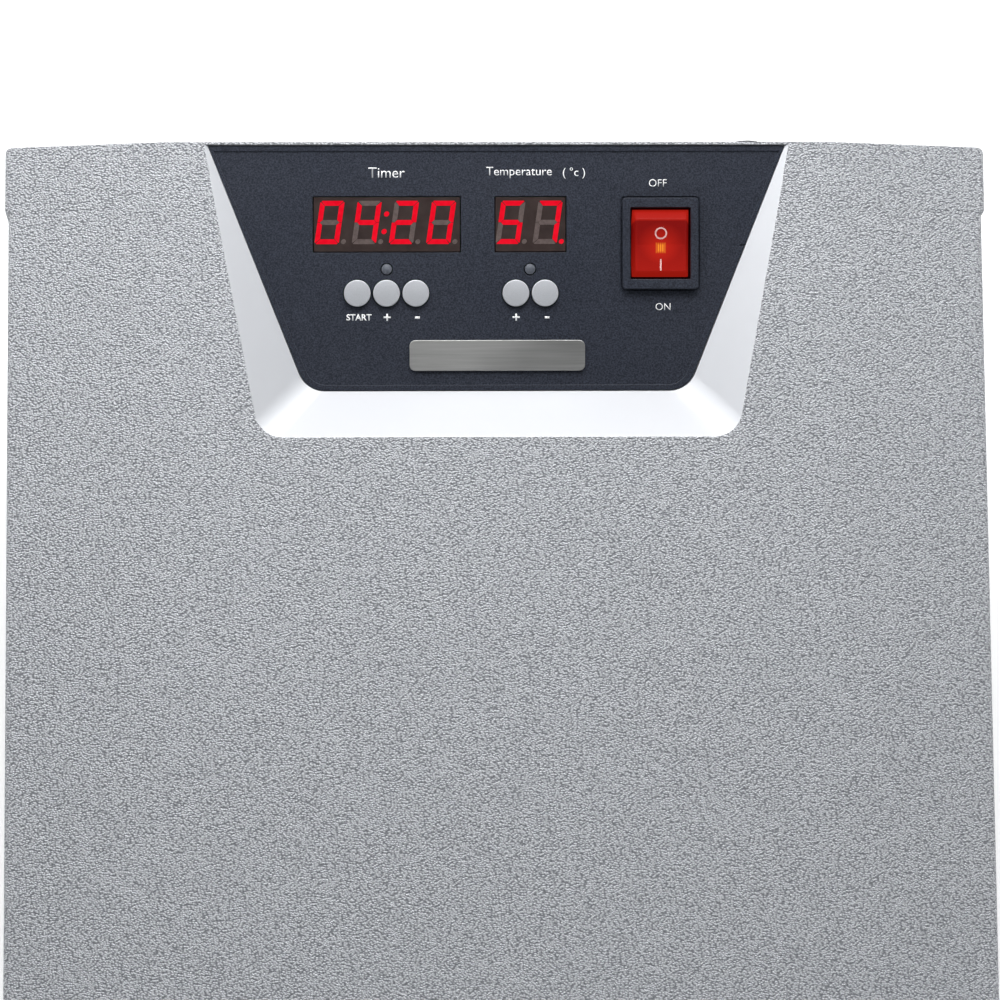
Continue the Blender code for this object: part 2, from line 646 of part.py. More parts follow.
def make_fan(paint, axis):
    middle = SHROUD_Y - 0.002
    hub = [(0.016, middle - 0.012), (0.020, middle - 0.009), (0.020, middle + 0.009)]
    fan = turned("fan", hub, (0, FAN_Z), "XZ", FAN_STEPS)
    blades = 5
    sections = [(0.018, 42, 0.020), (0.040, 34, 0.032), (0.062, 27, 0.040), (FAN_RADIUS, 22, 0.042)]
    for n in range(blades):
        angle = 2 * math.pi * n / blades
        loops = [blade_loop(r, math.radians(p), c, middle, angle) for r, p, c in sections]
        join(fan, body("blade", loft(loops)))
    bore = [(SHAFT_RADIUS + GAP, middle - 0.05), (SHAFT_RADIUS + GAP, middle + 0.05)]
    cut(fan, turned("bore", bore, (0, FAN_Z), "XZ", 12))
    shaft = turned("shaft", [(SHAFT_RADIUS, middle - 0.014), (SHAFT_RADIUS, 0.202)], (0, FAN_Z), "XZ", 12)
    for made, name, colour in ((fan, "fan_impeller", "black"), (shaft, "fan_shaft", "steel")):
        made.data.transform(Matrix.Translation(-axis.location))
        finish(made, name, paint[colour], axis)


def make_motor(paint):
    front = SHROUD_Y + 0.021
    profile = [
        (0.0100, front - 0.008), (0.0100, front), (0.0290, front), (0.0310, front + 0.002),
        (0.0310, front + 0.024), (0.0290, front + 0.026), (0.0120, front + 0.026), (0.0120, front + 0.029),
    ]
    motor = turned("motor", profile, (0, FAN_Z), "XZ", 20)
    bore = [(SHAFT_RADIUS + GAP, front - 0.02), (SHAFT_RADIUS + GAP, 0.204)]
    finish(cut(motor, turned("bore", bore, (0, FAN_Z), "XZ", 12)), "fan_motor", paint["steel"])

    leg_front, bar_back = SHROUD_Y + 0.0024 + GAP, front - GAP
    low, high = (-0.0875, bar_back - 0.002, FAN_Z - 0.012), (0.0875, bar_back, FAN_Z + 0.012)
    bracket = block("bracket", low, high)
    for sign in (-1, 1):
        near, far = sorted((sign * 0.0855, sign * 0.0875))
        leg = block("leg", (near, leg_front, FAN_Z - 0.012), (far, bar_back - 0.001, FAN_Z + 0.012))
        join(bracket, leg)
    hole = [(0.0100 + GAP, bar_back - 0.01), (0.0100 + GAP, bar_back + 0.01)]
    cut(bracket, turned("hole", hole, (0, FAN_Z), "XZ", 20))
    finish(bracket, "motor_bracket", paint["sheet"])


def make_heater(paint):
    """A ring of tube with its two ends led down, held by crossed mica strips."""
    start, end = math.radians(-80), math.radians(260)
    steps = 26
    leg = 0.026
    points = [Vector((HEATER_RADIUS * math.cos(start), HEATER_Y, FAN_Z - HEATER_RADIUS - leg))]
    for step in range(steps + 1):
        angle = start + (end - start) * step / steps
        x, z = HEATER_RADIUS * math.cos(angle), FAN_Z + HEATER_RADIUS * math.sin(angle)
        points.append(Vector((x, HEATER_Y, z)))
    points.append(Vector((-points[0].x, HEATER_Y, points[0].z)))
    curve = bpy.data.curves.new("heater", "CURVE")
    curve.dimensions = "3D"
    curve.bevel_depth = HEATER_TUBE
    curve.bevel_resolution = 2
    curve.use_fill_caps = True
    spline = curve.splines.new("POLY")
    spline.points.add(len(points) - 1)
    for point, place in zip(spline.points, points):
        point.co = (*place, 1.0)
    tube = bpy.data.objects.new("heater_element", curve)
    bpy.context.scene.collection.objects.link(tube)
    curve.materials.append(paint["heater"])

    reach, half = 0.074, 0.001
    front, back = BAFFLE_BACK_Y + GAP, HEATER_Y + 0.006
    cross = block("cross", (-half, front, FAN_Z - reach), (half, back, FAN_Z + reach))
    join(cross, block("bar", (-reach, front, FAN_Z - half), (reach, back, FAN_Z + half)))
    bore = HEATER_TUBE + 0.0005
    for sign in (-1, 1):
        hole = [(bore, FAN_Z - 0.01), (bore, FAN_Z + 0.01)]
        cut(cross, turned("hole", hole, (sign * HEATER_RADIUS, HEATER_Y), "XY", 16))
    top = (HEATER_Y, FAN_Z + HEATER_RADIUS)
    cut(cross, turned("hole", [(bore, -0.01), (bore, 0.01)], top, "YZ", 16))
    finish(cross, "heater_bracket", paint["mica"])


def make_sensors(paint):
    back = BAFFLE_BACK_Y + GAP
    profile = [(0.0110, back), (0.0110, back + 0.001), (0.0080, back + 0.001), (0.0080, back + 0.009)]
    cutoff = turned("cutoff", profile, CUTOFF_PLACE, "XZ", 20)
    finish(cutoff, "thermal_cutoff", paint["steel"])
    profile = [(0.0015, 0.112), (0.0025, 0.114), (0.0025, back), (0.0050, back), (0.0050, back + 0.004)]
    finish(turned("probe", profile, PROBE_PLACE, "XZ", 12), "temperature_sensor", paint["steel"])


# ---- Control panel, in its own frame ------------------------------------------------------
def window(name, x, v, width, height, low, high, radius=0.0):
    """A straight-sided block on the panel, centred at x and at v down the slope."""
    outline = rectangle(
        (x - width / 2, -v - height / 2), (x + width / 2, -v + height / 2), radius, 3
    )
    return prism(name, outline, low, high)


def make_fascia(paint, panel):
    fascia = prism("fascia", panel_outline(-GAP, -GAP), -FASCIA_THICK, 0.0)
    inner = panel_outline(-GAP - FASCIA_RIM, -GAP - FASCIA_RIM)
    cut(fascia, prism("face", inner, -FASCIA_SUNK, 0.002))
    fit = 0.0006
    cut(fascia, window("timer", TIMER_X, DISPLAY_V, TIMER_WIDTH + fit, DISPLAY_HEIGHT + fit, -0.01, 0.01))
    cut(fascia, window("thermo", THERMO_X, DISPLAY_V, THERMO_WIDTH + fit, DISPLAY_HEIGHT + fit, -0.01, 0.01))
    cut(fascia, window("rocker", ROCKER_X, ROCKER_V, 0.0222, 0.0282, -0.01, 0.01))
    for x in BUTTONS.values():
        radius = BUTTON_RADIUS + GAP
        cut(fascia, turned("hole", [(radius, -0.01), (radius, 0.01)], (x, -BUTTON_V), steps=16))
    for x in INDICATORS.values():
        radius = INDICATOR_RADIUS + GAP
        cut(fascia, turned("hole", [(radius, -0.01), (radius, 0.01)], (x, -INDICATOR_V), steps=10))
    # A pry notch in the rim, on the right
    cut(fascia, window("notch", 0.0842, 0.0344, 0.0040, 0.0008, -FASCIA_SUNK, 0.01))
    finish(fascia, "control_fascia", paint["charcoal"], panel)

    low = -FASCIA_SUNK + GAP
    badge = window("badge", 0.0, BADGE_V, BADGE_WIDTH, BADGE_HEIGHT, low, low + 0.0006, 0.002)
    finish(badge, "badge_plate", paint["steel"], panel)


def make_displays(paint, panel):
    low, high = BOARD_TOP + GAP, -0.0006
    for name, x, width in (
        ("timer_display", TIMER_X, TIMER_WIDTH),
        ("temperature_display", THERMO_X, THERMO_WIDTH),
    ):
        display = window(name, x, DISPLAY_V, width, DISPLAY_HEIGHT, low, high)
        finish(display, name, paint["display"], panel)
    profile = [(INDICATOR_RADIUS, low), (INDICATOR_RADIUS, 0.0), (0.0013, 0.0006), (0.0005, 0.0009)]
    for name, x in INDICATORS.items():
        finish(turned(name, profile, (x, -INDICATOR_V), steps=10), name, paint["lens"], panel)


def make_buttons(paint, panel):
    """A domed cap with a retaining bar below the fascia and a stem to its switch."""
    radius = BUTTON_RADIUS
    profile = [
        (0.0020, -0.0052), (0.0025, -0.0036), (radius, -0.0036), (radius, 0.0010),
        (radius - 0.0008, 0.0016), (radius - 0.0026, 0.00175),
    ]
    for name, x in BUTTONS.items():
        axis = pivot(f"{name}_travel", (x, -BUTTON_V, 0))
        axis.parent = panel
        cap = turned("cap", profile, steps=16)
        join(cap, block("bar", (-0.0022, -0.0060, -0.0037), (0.0022, 0.0060, -0.0028)))
        finish(cap, name, paint["button"], axis)


def make_rocker(paint, panel):
    seat = -FASCIA_SUNK + GAP
    housing = window("bezel", ROCKER_X, ROCKER_V, BEZEL_WIDTH, BEZEL_LENGTH, seat, 0.0019, 0.0015)
    join(housing, window("case", ROCKER_X, ROCKER_V, 0.0216, 0.0276, -0.018, 0.0010))
    cut(housing, window("well", ROCKER_X, ROCKER_V, 0.0199, 0.0240, -0.0080, 0.01))
    for v in (ROCKER_V - 0.007, ROCKER_V, ROCKER_V + 0.007):
        join(housing, window("blade", ROCKER_X, v, 0.0063, 0.0008, -0.026, -0.017))
    finish(housing, "rocker_housing", paint["black"], panel)

    axis = pivot("rocker_axis", (ROCKER_X, -ROCKER_V, -0.001), (ROCKER_TILT, 0, 0))
    axis.parent = panel
    end, neck = ROCKER_LENGTH / 2, 0.0006
    valley = 0.0032
    crest = valley + end * math.tan(ROCKER_TILT)
    side = [(0, valley), (end - neck - 0.0008, crest - 0.0002), (end - neck, crest - 0.0009)]
    side += [(end, -0.0005), (0.0072, -0.0045)]
    profile = side + [(-y, z) for y, z in reversed(side) if y]
    paddle = prism("paddle", profile, -ROCKER_WIDTH / 2, ROCKER_WIDTH / 2, "YZ")
    finish(paddle, "rocker_paddle", paint["red"], axis)


def make_boards(paint, panel):
    board = window("board", -0.018, 0.038, 0.112, 0.050, BOARD_TOP - 0.0016, BOARD_TOP)
    for x in BUTTONS.values():
        join(board, window("switch", x, BUTTON_V, 0.006, 0.006, BOARD_TOP - 0.0005, -0.0066))
    join(board, window("plug", -0.050, 0.038, 0.022, 0.008, BOARD_TOP - 0.008, BOARD_TOP - 0.001))
    join(board, window("chip", -0.010, 0.036, 0.018, 0.010, BOARD_TOP - 0.004, BOARD_TOP - 0.001))
    finish(board, "control_board", paint["board"], panel)

    top = 0.0236
    power = block("power", (-0.150, 0.134, top - 0.0016), (-0.062, 0.204, top))
    join(power, block("transformer", (-0.144, 0.144, top - 0.0005), (-0.104, 0.178, top + 0.028)))
    join(power, block("relay", (-0.094, 0.140, top - 0.0005), (-0.074, 0.156, top + 0.016)))
    join(power, turned("capacitor", [(0.007, top - 0.0005), (0.007, top + 0.018)], (-0.084, 0.184), steps=16))
    for x in (-0.146, -0.066):
        for y in (0.138, 0.199):
            low = FOOT_HEIGHT + SKIN + GAP
            join(power, turned("standoff", [(0.003, low), (0.003, top - 0.001)], (x, y), steps=10))
    finish(power, "power_board", paint["board"])


# ---- Door, in its own frame ---------------------------------------------------------------
def door_box(grow):
    low = (WINDOW_LEFT - grow, WINDOW_BOTTOM - grow)
    return rectangle(low, (WINDOW_RIGHT + grow, WINDOW_TOP + grow), 0.012 + grow, 5)


def make_door(paint, axis):
    half = DOOR_THICK / 2
    left = -half + 0.0001
    plan = [(left, -half), (DOOR_WIDTH, -half), (DOOR_WIDTH, half), (left, half)]
    barrel = half - 0.0002
    door = prism("door", rounded(plan, (barrel, 0, 0, barrel), 8), DOOR_BOTTOM, DOOR_TOP)
    face = [(-0.02, DOOR_BOTTOM), (DOOR_WIDTH, DOOR_BOTTOM), (DOOR_WIDTH, DOOR_TOP), (-0.02, DOOR_TOP)]
    front = prism("front", rounded(face, (0, 0.008, 0.008, 0)), -0.02, 0.02, "XZ")
    combine(door, front, "INTERSECT")
    cut(door, prism("window", door_box(0), -0.02, 0.02, "XZ"))
    rebate = 0.0020
    cut(door, prism("rebate", door_box(0.005), rebate, 0.02, "XZ"))
    bore = PIN_RADIUS + GAP
    for low, high in ((DOOR_BOTTOM - 0.01, DOOR_BOTTOM + 0.014), (DOOR_TOP - 0.014, DOOR_TOP + 0.01)):
        cut(door, turned("bore", [(bore, low), (bore, high)], steps=16))
    finish(door, "door_frame", paint["silver"], axis)

    pane = prism("pane", door_box(0.005 - GAP), rebate + GAP, half - GAP, "XZ")
    finish(pane, "door_window", paint["smoked"], axis)

    face = -half - GAP
    bow = [(face, 0.098), (face, 0.226), (-0.0285, 0.218), (-0.0285, 0.106)]
    handle = prism("handle", rounded(bow, (0, 0, 0.006, 0.006)), HANDLE_X - 0.007, HANDLE_X + 0.007, "YZ")
    inner = [(0.0, 0.113), (0.0, 0.211), (-0.0205, 0.207), (-0.0205, 0.117)]
    cut(handle, prism("gap", rounded(inner, (0, 0, 0.004, 0.004)), HANDLE_X - 0.02, HANDLE_X + 0.02, "YZ"))
    finish(handle, "door_handle", paint["charcoal"], axis)

    low, high = (STRIKE_X, half + GAP, 0.135), (STRIKE_X + 0.007, half + 0.0013, 0.165)
    finish(block("strike", low, high), "strike_plate", paint["steel"], axis)


def make_hinges(paint):
    """Two lugs on the front frame, each with a headed pin that runs into the door's barrel."""
    face, thick, bore = FRAME_FRONT_Y - GAP, 0.0047, PIN_RADIUS + GAP
    lower = (DOOR_BOTTOM - GAP - thick, DOOR_BOTTOM - GAP)
    upper = (DOOR_TOP + GAP, DOOR_TOP + GAP + thick)
    for name, (low, high), foot in (("lower", lower, -0.006), ("upper", upper, 0.0)):
        lug = prism("lug", circle(0.006, 24, (HINGE_X, HINGE_Y)), low, high)
        join(lug, block("arm", (HINGE_X - 0.006, HINGE_Y, low), (HINGE_X + 0.006, face, high)))
        plate = block("plate", (HINGE_X - 0.003, face - 0.0020, low + foot), (HINGE_X + 0.034, face, high))
        join(lug, plate)
        cut(lug, turned("bore", [(bore, low - 0.01), (bore, high + 0.01)], (HINGE_X, HINGE_Y), steps=16))
        finish(lug, f"{name}_hinge_bracket", paint["sheet"])
    head, reach = 0.0034, 0.0115
    low, high = lower[0] - GAP, upper[1] + GAP
    below = [(head, low - 0.002), (head, low), (PIN_RADIUS, low), (PIN_RADIUS, DOOR_BOTTOM + reach)]
    above = [(PIN_RADIUS, DOOR_TOP - reach), (PIN_RADIUS, high), (head, high), (head, high + 0.002)]
    for name, profile in (("lower_hinge_pin", below), ("upper_hinge_pin", above)):
        finish(turned(name, profile, (HINGE_X, HINGE_Y), steps=16), name, paint["steel"])


def main():
    for old in list(bpy.data.objects):
        bpy.data.objects.remove(old)
    paint = make_materials()
    make_top_cover(paint)
    make_base_pan(paint)
    make_feet(paint)
    make_sides(paint)
    make_front_frame(paint)
    make_rear_cover(paint)
    make_screws(paint)
    make_gland(paint)

    make_rails(paint)
    make_chamber_sheets(paint)
    make_baffle(paint)
    make_trays(paint)

    make_shroud(paint)
    make_fan(paint, pivot("fan_axis", Vector((0, SHROUD_Y, FAN_Z))))
    make_motor(paint)
    make_heater(paint)
    make_sensors(paint)

    panel = pivot("panel_plane", panel_frame().translation, (PANEL_TILT, 0, 0))
    make_fascia(paint, panel)
    make_displays(paint, panel)
    make_buttons(paint, panel)
    make_rocker(paint, panel)
    make_boards(paint, panel)

    make_door(paint, pivot("door_axis", (HINGE_X, HINGE_Y, 0), (0, 0, -DOOR_REST)))
    make_hinges(paint)


main()
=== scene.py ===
"""The looks of a cabinet dryer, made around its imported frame: metres, +Z up, +Y to the back.

The moulded cover, the control panel with everything on it, the trays and the small hardware are
new, finer pieces that stand for their CAD nodes. The other nodes stay, with softened edges and
materials of their own.
"""

import math

import bmesh
import bpy
from mathutils import Matrix, Vector


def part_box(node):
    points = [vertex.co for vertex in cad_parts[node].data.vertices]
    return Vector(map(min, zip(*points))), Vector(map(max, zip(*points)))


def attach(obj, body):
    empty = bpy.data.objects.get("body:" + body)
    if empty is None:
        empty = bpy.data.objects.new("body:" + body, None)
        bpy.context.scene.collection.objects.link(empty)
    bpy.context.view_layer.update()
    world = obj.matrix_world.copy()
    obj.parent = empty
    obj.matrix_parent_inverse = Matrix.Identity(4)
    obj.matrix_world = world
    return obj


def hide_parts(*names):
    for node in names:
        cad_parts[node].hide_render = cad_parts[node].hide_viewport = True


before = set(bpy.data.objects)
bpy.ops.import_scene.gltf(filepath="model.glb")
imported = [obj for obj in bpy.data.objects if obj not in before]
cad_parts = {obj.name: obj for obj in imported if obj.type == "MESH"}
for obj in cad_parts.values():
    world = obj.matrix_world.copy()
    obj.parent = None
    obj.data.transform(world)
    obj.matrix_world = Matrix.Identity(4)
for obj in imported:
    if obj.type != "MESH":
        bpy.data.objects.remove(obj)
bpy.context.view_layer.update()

# ---- Driving dimensions -------------------------------------------------------------------
COVER_LOW, COVER_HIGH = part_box("top_cover")
REAR_Y, FRONT_Y = COVER_HIGH.y, COVER_LOW.y
COVER_LENGTH = REAR_Y - FRONT_Y
PLATEAU_TOP = COVER_HIGH.z
SKIRT_BOTTOM = 0.284
EAR_HALF = COVER_HIGH.x
EAR_PROUD, EAR_LENGTH = 0.0012, 0.0228
BODY_HALF = EAR_HALF - EAR_PROUD
PLATEAU_FALL = 0.0075  # over the length of the cover
SHOULDER_DROP = 0.009  # from the plateau to the shoulders' outer edges, at the back
RIDGE_REAR, RIDGE_SPREAD, RIDGE_LENGTH = 0.114, 0.0095, 0.239
RIDGE_RADIUS, EDGE_RADIUS = 0.050, 0.0022
CORNER_RADIUS = 0.0017  # the ears' upright corners
LIP_RADIUS = 0.0005  # the back and front edges of the cover
SKIN = 0.0026

PANEL_TILT = math.radians(9.5)
PANEL_LIP, PANEL_STEP = 0.001, 0.0008
PANEL_LENGTH = 0.0841
PANEL_REAR_HALF, PANEL_FRONT_HALF, PANEL_CORNER = 0.0988, 0.0654, 0.0096
BAY_LENGTH = 0.1022
BAY_REAR_HALF, BAY_FRONT_HALF, BAY_CORNER = 0.1003, 0.0813, 0.0095
BRIM_ROUND = 0.0009
FASCIA_THICK, FASCIA_RIM, FASCIA_SUNK = 0.0024, 0.0018, 0.0004
GAP = 0.0003  # between neighbouring pieces
FIT = 0.0006  # how much wider an opening of the fascia is than the module in it
THROUGH = (-0.01, 0.01)  # from below to above the fascia, for a cutter that goes through it
SCREW_X, UPPER_SCREW_Z = 0.140, 0.277
SCREW_HOLE_RADIUS, BOSS_HALF = 0.00175, 0.006

# Places on the panel: x across, v down its slope from the back edge, heights from its face
MODULE_FOOT = -0.0097  # the underside of the display modules and the indicators
DISPLAY_V, DISPLAY_HEIGHT = 0.0271, 0.0186
TIMER_X, TIMER_WIDTH = -0.0376, 0.0500
THERMO_X, THERMO_WIDTH = 0.0115, 0.0240
BUTTON_V, BUTTON_RADIUS, BUTTON_TOP = 0.0506, 0.00455, 0.0007
CAP_FOOT, STEM_FOOT, STEM_RADIUS = -0.0036, -0.0052, 0.0025
BUTTONS = {
    "start": -0.0478, "timer_plus": -0.0378, "timer_minus": -0.0278,
    "temperature_plus": 0.0064, "temperature_minus": 0.0164,
}
INDICATOR_V, INDICATOR_RADIUS = 0.0424, 0.0018
INDICATORS = {"timer_indicator": -0.0377, "temperature_indicator": 0.0113}
ROCKER_X, ROCKER_V = 0.0559, 0.0337
BEZEL_WIDTH, BEZEL_LENGTH, BEZEL_TOP = 0.0259, 0.0312, 0.0019
CASE_WIDTH, CASE_LENGTH, CASE_FOOT = 0.0216, 0.0276, -0.018
WELL_WIDTH, WELL_LENGTH, WELL_FLOOR = 0.0206, 0.0245, -0.0080
ROCKER_WIDTH, ROCKER_LENGTH, ROCKER_TILT = 0.0193, 0.0232, math.radians(8)
ROCKER_AXIS, ROCKER_VALLEY = -0.001, 0.0032  # heights
ROCKER_CREST = 0.0089  # from the valley to a crest
NOTCH = (0.0842, 0.0344, 0.0040, 0.0008)  # x, v, width and height of the mark by the switch
BADGE_X, BADGE_V, BADGE_WIDTH, BADGE_HEIGHT = 0.0, 0.0719, 0.060, 0.0105

# Seven-segment digits
DIGIT_HEIGHT, DIGIT_WIDTH, DIGIT_STROKE = 0.0148, 0.0083, 0.0017
DIGIT_PITCH = 0.0127
DIGIT_SLANT = math.tan(math.radians(8.3))
DIGITS_LEFT, DIGITS_UP = 0.0005, 0.0007  # of the middle of their window
SEGMENT_GAP = 0.00006
DOT_RADIUS, DOT_ASIDE = 0.00085, 0.0015
COLON_RADIUS, COLON_HEIGHTS = 0.0009, (-0.0031, 0.0029)
LIT_SEGMENTS = {"0": "abcdef", "2": "abged", "4": "fgbc", "5": "afgcd", "7": "abc"}

INK_THICK, INK_SUNK = 0.00005, 0.00002  # of the printed legends


# ---- Materials ----------------------------------------------------------------------------
def material(name, colour, roughness, metallic=0.0, **sockets):
    """A Principled material. An underscore in a socket's name stands for a space."""
    made = bpy.data.materials.new(name)
    made.use_nodes = True
    shader = made.node_tree.nodes["Principled BSDF"]
    shader.inputs["Base Color"].default_value = (*colour, 1.0)
    shader.inputs["Roughness"].default_value = roughness
    shader.inputs["Metallic"].default_value = metallic
    for socket, value in sockets.items():
        shader.inputs[socket.replace("_", " ")].default_value = value
    return made


def node(made, kind, links=None, **settings):
    """A node with settings, and with its inputs linked or set by name."""
    new = made.node_tree.nodes.new(kind)
    for setting, value in settings.items():
        setattr(new, setting, value)
    for name, value in (links or {}).items():
        if isinstance(value, bpy.types.NodeSocket):
            made.node_tree.links.new(value, new.inputs[name])
        else:
            new.inputs[name].default_value = value
    return new


def stretched(made, stretch=(1, 1, 1), turn=(0, 0, 0)):
    """The piece's own coordinates, in metres, stretched along each axis and then turned."""
    own = node(made, "ShaderNodeTexCoord").outputs["Object"]
    changes = {"Vector": own, "Scale": stretch, "Rotation": turn}
    return node(made, "ShaderNodeMapping", changes).outputs["Vector"]


def noise(made, per_metre, detail=2.0, roughness=0.5, stretch=(1, 1, 1)):
    links = {
        "Vector": stretched(made, stretch), "Scale": per_metre, "Detail": detail,
        "Roughness": roughness,
    }
    return node(made, "ShaderNodeTexNoise", links).outputs["Fac"]


def remap(made, value, low, high, to_low=0.0, to_high=1.0):
    links = {
        "Value": value, "From Min": low, "From Max": high, "To Min": to_low, "To Max": to_high,
    }
    return node(made, "ShaderNodeMapRange", links).outputs["Result"]


def blend_colours(made, factor, first, second):
    """A mix of two colours, each a colour or a socket, by a factor."""
    mix = made.node_tree.nodes.new("ShaderNodeMix")
    mix.data_type = "RGBA"
    sockets = [mix.inputs[i] for i in (0, 6, 7)]  # the factor and the two colours
    for value, socket in zip((factor, first, second), sockets):
        if isinstance(value, bpy.types.NodeSocket):
            made.node_tree.links.new(value, socket)
        else:
            socket.default_value = (*value, 1.0)
    return mix.outputs[2]


def drive(made, socket, value):
    made.node_tree.links.new(value, made.node_tree.nodes["Principled BSDF"].inputs[socket])


def tint(made, factor, first, second):
    drive(made, "Base Color", blend_colours(made, factor, first, second))


def bump(made, height, strength, depth):
    """Adds relief: depth is the height difference, in metres, between black and white."""
    links = {"Height": height, "Strength": strength, "Distance": depth}
    drive(made, "Normal", node(made, "ShaderNodeBump", links).outputs["Normal"])


def silver_grain_with_painted_shade():
    """Wrinkles about 0.6 mm apart, a little longer across the cabinet, as moulded, with painted
    crevice shade.
    """
    made = material("silver_grain_with_painted_shade", (0.50, 0.51, 0.54), 0.55, 0.42)
    # Turned, because a flat face would show the texture's own layers as bands
    turned_place = stretched(made, (0.72, 1.0, 1.0), (0.7, 0.5, 0.3))
    cells = {"Vector": turned_place, "Scale": 1620.0, "Randomness": 0.9}
    pebbles = node(made, "ShaderNodeTexVoronoi", cells)
    wrinkles = remap(made, pebbles.outputs["Distance"], 0.85, 0.15)
    # Darker in the crevices than on the tops: shade painted into the colour, on top of the
    # relief's own
    shade = remap(made, wrinkles, 0.1, 0.7)
    tint(made, shade, (0.27, 0.28, 0.30), (0.64, 0.65, 0.68))
    drive(made, "Roughness", remap(made, wrinkles, 0.0, 1.0, 0.62, 0.50))
    bump(made, wrinkles, 1.0, 0.00085)
    return made


def silver_smooth():
    made = material("silver_smooth", (0.525, 0.535, 0.56), 0.46, 0.22)
    speckle = noise(made, 2600, 1.0)
    drive(made, "Roughness", remap(made, speckle, 0.3, 0.7, 0.38, 0.48))
    bump(made, speckle, 0.12, 0.00003)
    return made


def textured_plastic(name, dark, light, roughness, grain=1900, depth=0.00006):
    """Moulded plastic with a spark-eroded texture and faint handling marks."""
    made = material(name, dark, roughness, Specular_IOR_Level=0.3)
    fine = noise(made, grain, 2.0, 0.6)
    cloud = noise(made, 28, 3.0, 0.6)
    tint(made, remap(made, fine, 0.36, 0.66), dark, light)
    drive(made, "Roughness", remap(made, cloud, 0.3, 0.7, roughness - 0.06, roughness + 0.06))
    bump(made, fine, 0.4, depth)
    return made


def brushed(name, colour, roughness, stretch, depth=0.00002):
    """Metal brushed along the axis whose stretch is the smallest."""
    made = material(name, colour, roughness, 1.0)
    lines = noise(made, 1000, 3.0, 0.6, stretch)
    cloud = noise(made, 20, 3.0, 0.55)
    darker = tuple(0.82 * c for c in colour)
    tint(made, remap(made, lines, 0.3, 0.7), darker, colour)
    drive(made, "Roughness", remap(made, cloud, 0.3, 0.7, roughness - 0.07, roughness + 0.08))
    bump(made, lines, 0.25, depth)
    return made


def rubbery():
    made = material("rubber", (0.016, 0.016, 0.017), 0.72)
    fine = noise(made, 1400, 3.0, 0.6)
    drive(made, "Roughness", remap(made, fine, 0.3, 0.7, 0.62, 0.86))
    bump(made, fine, 0.3, 0.00005)
    return made


def smoked():
    made = material(
        "smoked_window", (0.33, 0.34, 0.35), 0.05, Transmission_Weight=0.92, IOR=1.5,
    )
    cloud = noise(made, 35, 3.0, 0.6)
    drive(made, "Roughness", remap(made, cloud, 0.35, 0.75, 0.03, 0.09))
    return made


def display_filter():
    """The dark filter of a display, with the faint mottle of its potting."""
    made = material("display_filter", (0.040, 0.028, 0.026), 0.45, Specular_IOR_Level=0.1)
    mottle = remap(made, noise(made, 260), 0.3, 0.7)
    tint(made, mottle, (0.029, 0.020, 0.019), (0.041, 0.029, 0.027))
    bump(made, noise(made, 1500), 0.1, 0.00002)
    return made


def segment_lit():
    made = material(
        "segment_lit", (0.05, 0.0, 0.0), 0.6, Specular_IOR_Level=0.0, Emission_Strength=1.0,
    )
    cloud = remap(made, noise(made, 500, 1.0), 0.3, 0.7)
    glow = blend_colours(made, cloud, (0.74, 0.004, 0.018), (0.82, 0.008, 0.026))
    drive(made, "Emission Color", glow)
    return made


def segment_unlit():
    made = material("segment_unlit", (0.10, 0.085, 0.08), 0.5, Specular_IOR_Level=0.2)
    shade = remap(made, noise(made, 900), 0.3, 0.7)
    tint(made, shade, (0.080, 0.060, 0.057), (0.118, 0.090, 0.084))
    return made


def satin_silver():
    colour = (0.50, 0.515, 0.545)
    made = material("button_silver", colour, 0.42, 0.4)
    fine = noise(made, 3200, 2.0, 0.6)
    brighter = tuple(1.12 * c for c in colour)
    tint(made, remap(made, fine, 0.3, 0.7), colour, brighter)
    drive(made, "Roughness", remap(made, fine, 0.3, 0.7, 0.32, 0.44))
    bump(made, fine, 0.12, 0.00002)
    return made


def clear_lens():
    made = material("lens", (0.10, 0.11, 0.13), 0.5, Specular_IOR_Level=0.3)
    shade = remap(made, noise(made, 700), 0.3, 0.7)
    tint(made, shade, (0.075, 0.083, 0.10), (0.115, 0.125, 0.148))
    return made


def rocker_red(lamp):
    """Clear red plastic, lit from inside by a small ribbed lamp at this place, brighter towards
    the front, with a painted highlight along its back end.
    """
    made = material(
        "rocker_red", (0.10, 0.0015, 0.001), 0.42, Specular_IOR_Level=0.12, Emission_Strength=0.85,
    )

    def maths(operation, first, second=0.0):
        return node(made, "ShaderNodeMath", {0: first, 1: second}, operation=operation).outputs[0]

    own = node(made, "ShaderNodeTexCoord").outputs["Object"]
    away = node(made, "ShaderNodeVectorMath", {0: own, 1: lamp}, operation="SUBTRACT").outputs[0]
    across, along, _ = node(made, "ShaderNodeSeparateXYZ", {0: away}).outputs
    square = maths("MAXIMUM", maths("ABSOLUTE", across), maths("ABSOLUTE", along))
    core = remap(made, square, 0.0009, 0.0019, 1.0, 0.0)
    ribs = node(made, "ShaderNodeTexWave", {"Vector": own, "Scale": 419.0})
    bars = remap(made, ribs.outputs["Fac"], 0.2, 0.8, 0.35, 1.0)
    lamp_glow = maths("MULTIPLY", core, bars)
    length = node(made, "ShaderNodeVectorMath", {0: away}, operation="LENGTH")
    halo = remap(made, length.outputs["Value"], 0.001, 0.0090, 1.0, 0.0)
    front = remap(made, along, 0.006, -0.009, 0.0, 0.55)
    # A bright strip along the back end face: a painted highlight, carried in the emission
    back = remap(made, along, 0.0086, 0.0089, 0.0, 0.62)
    glow = maths("MAXIMUM", halo, maths("MAXIMUM", front, back))
    red = blend_colours(made, glow, (0.165, 0.0035, 0.003), (0.50, 0.016, 0.007))
    drive(made, "Emission Color", blend_colours(made, lamp_glow, red, (1.0, 0.36, 0.03)))
    return made


def ink(name, thin, full):
    """Printed ink, a little thinner in places."""
    made = material(name, full, 0.55)
    cover = remap(made, noise(made, 2400, 1.0), 0.25, 0.6)
    tint(made, cover, thin, full)
    return made


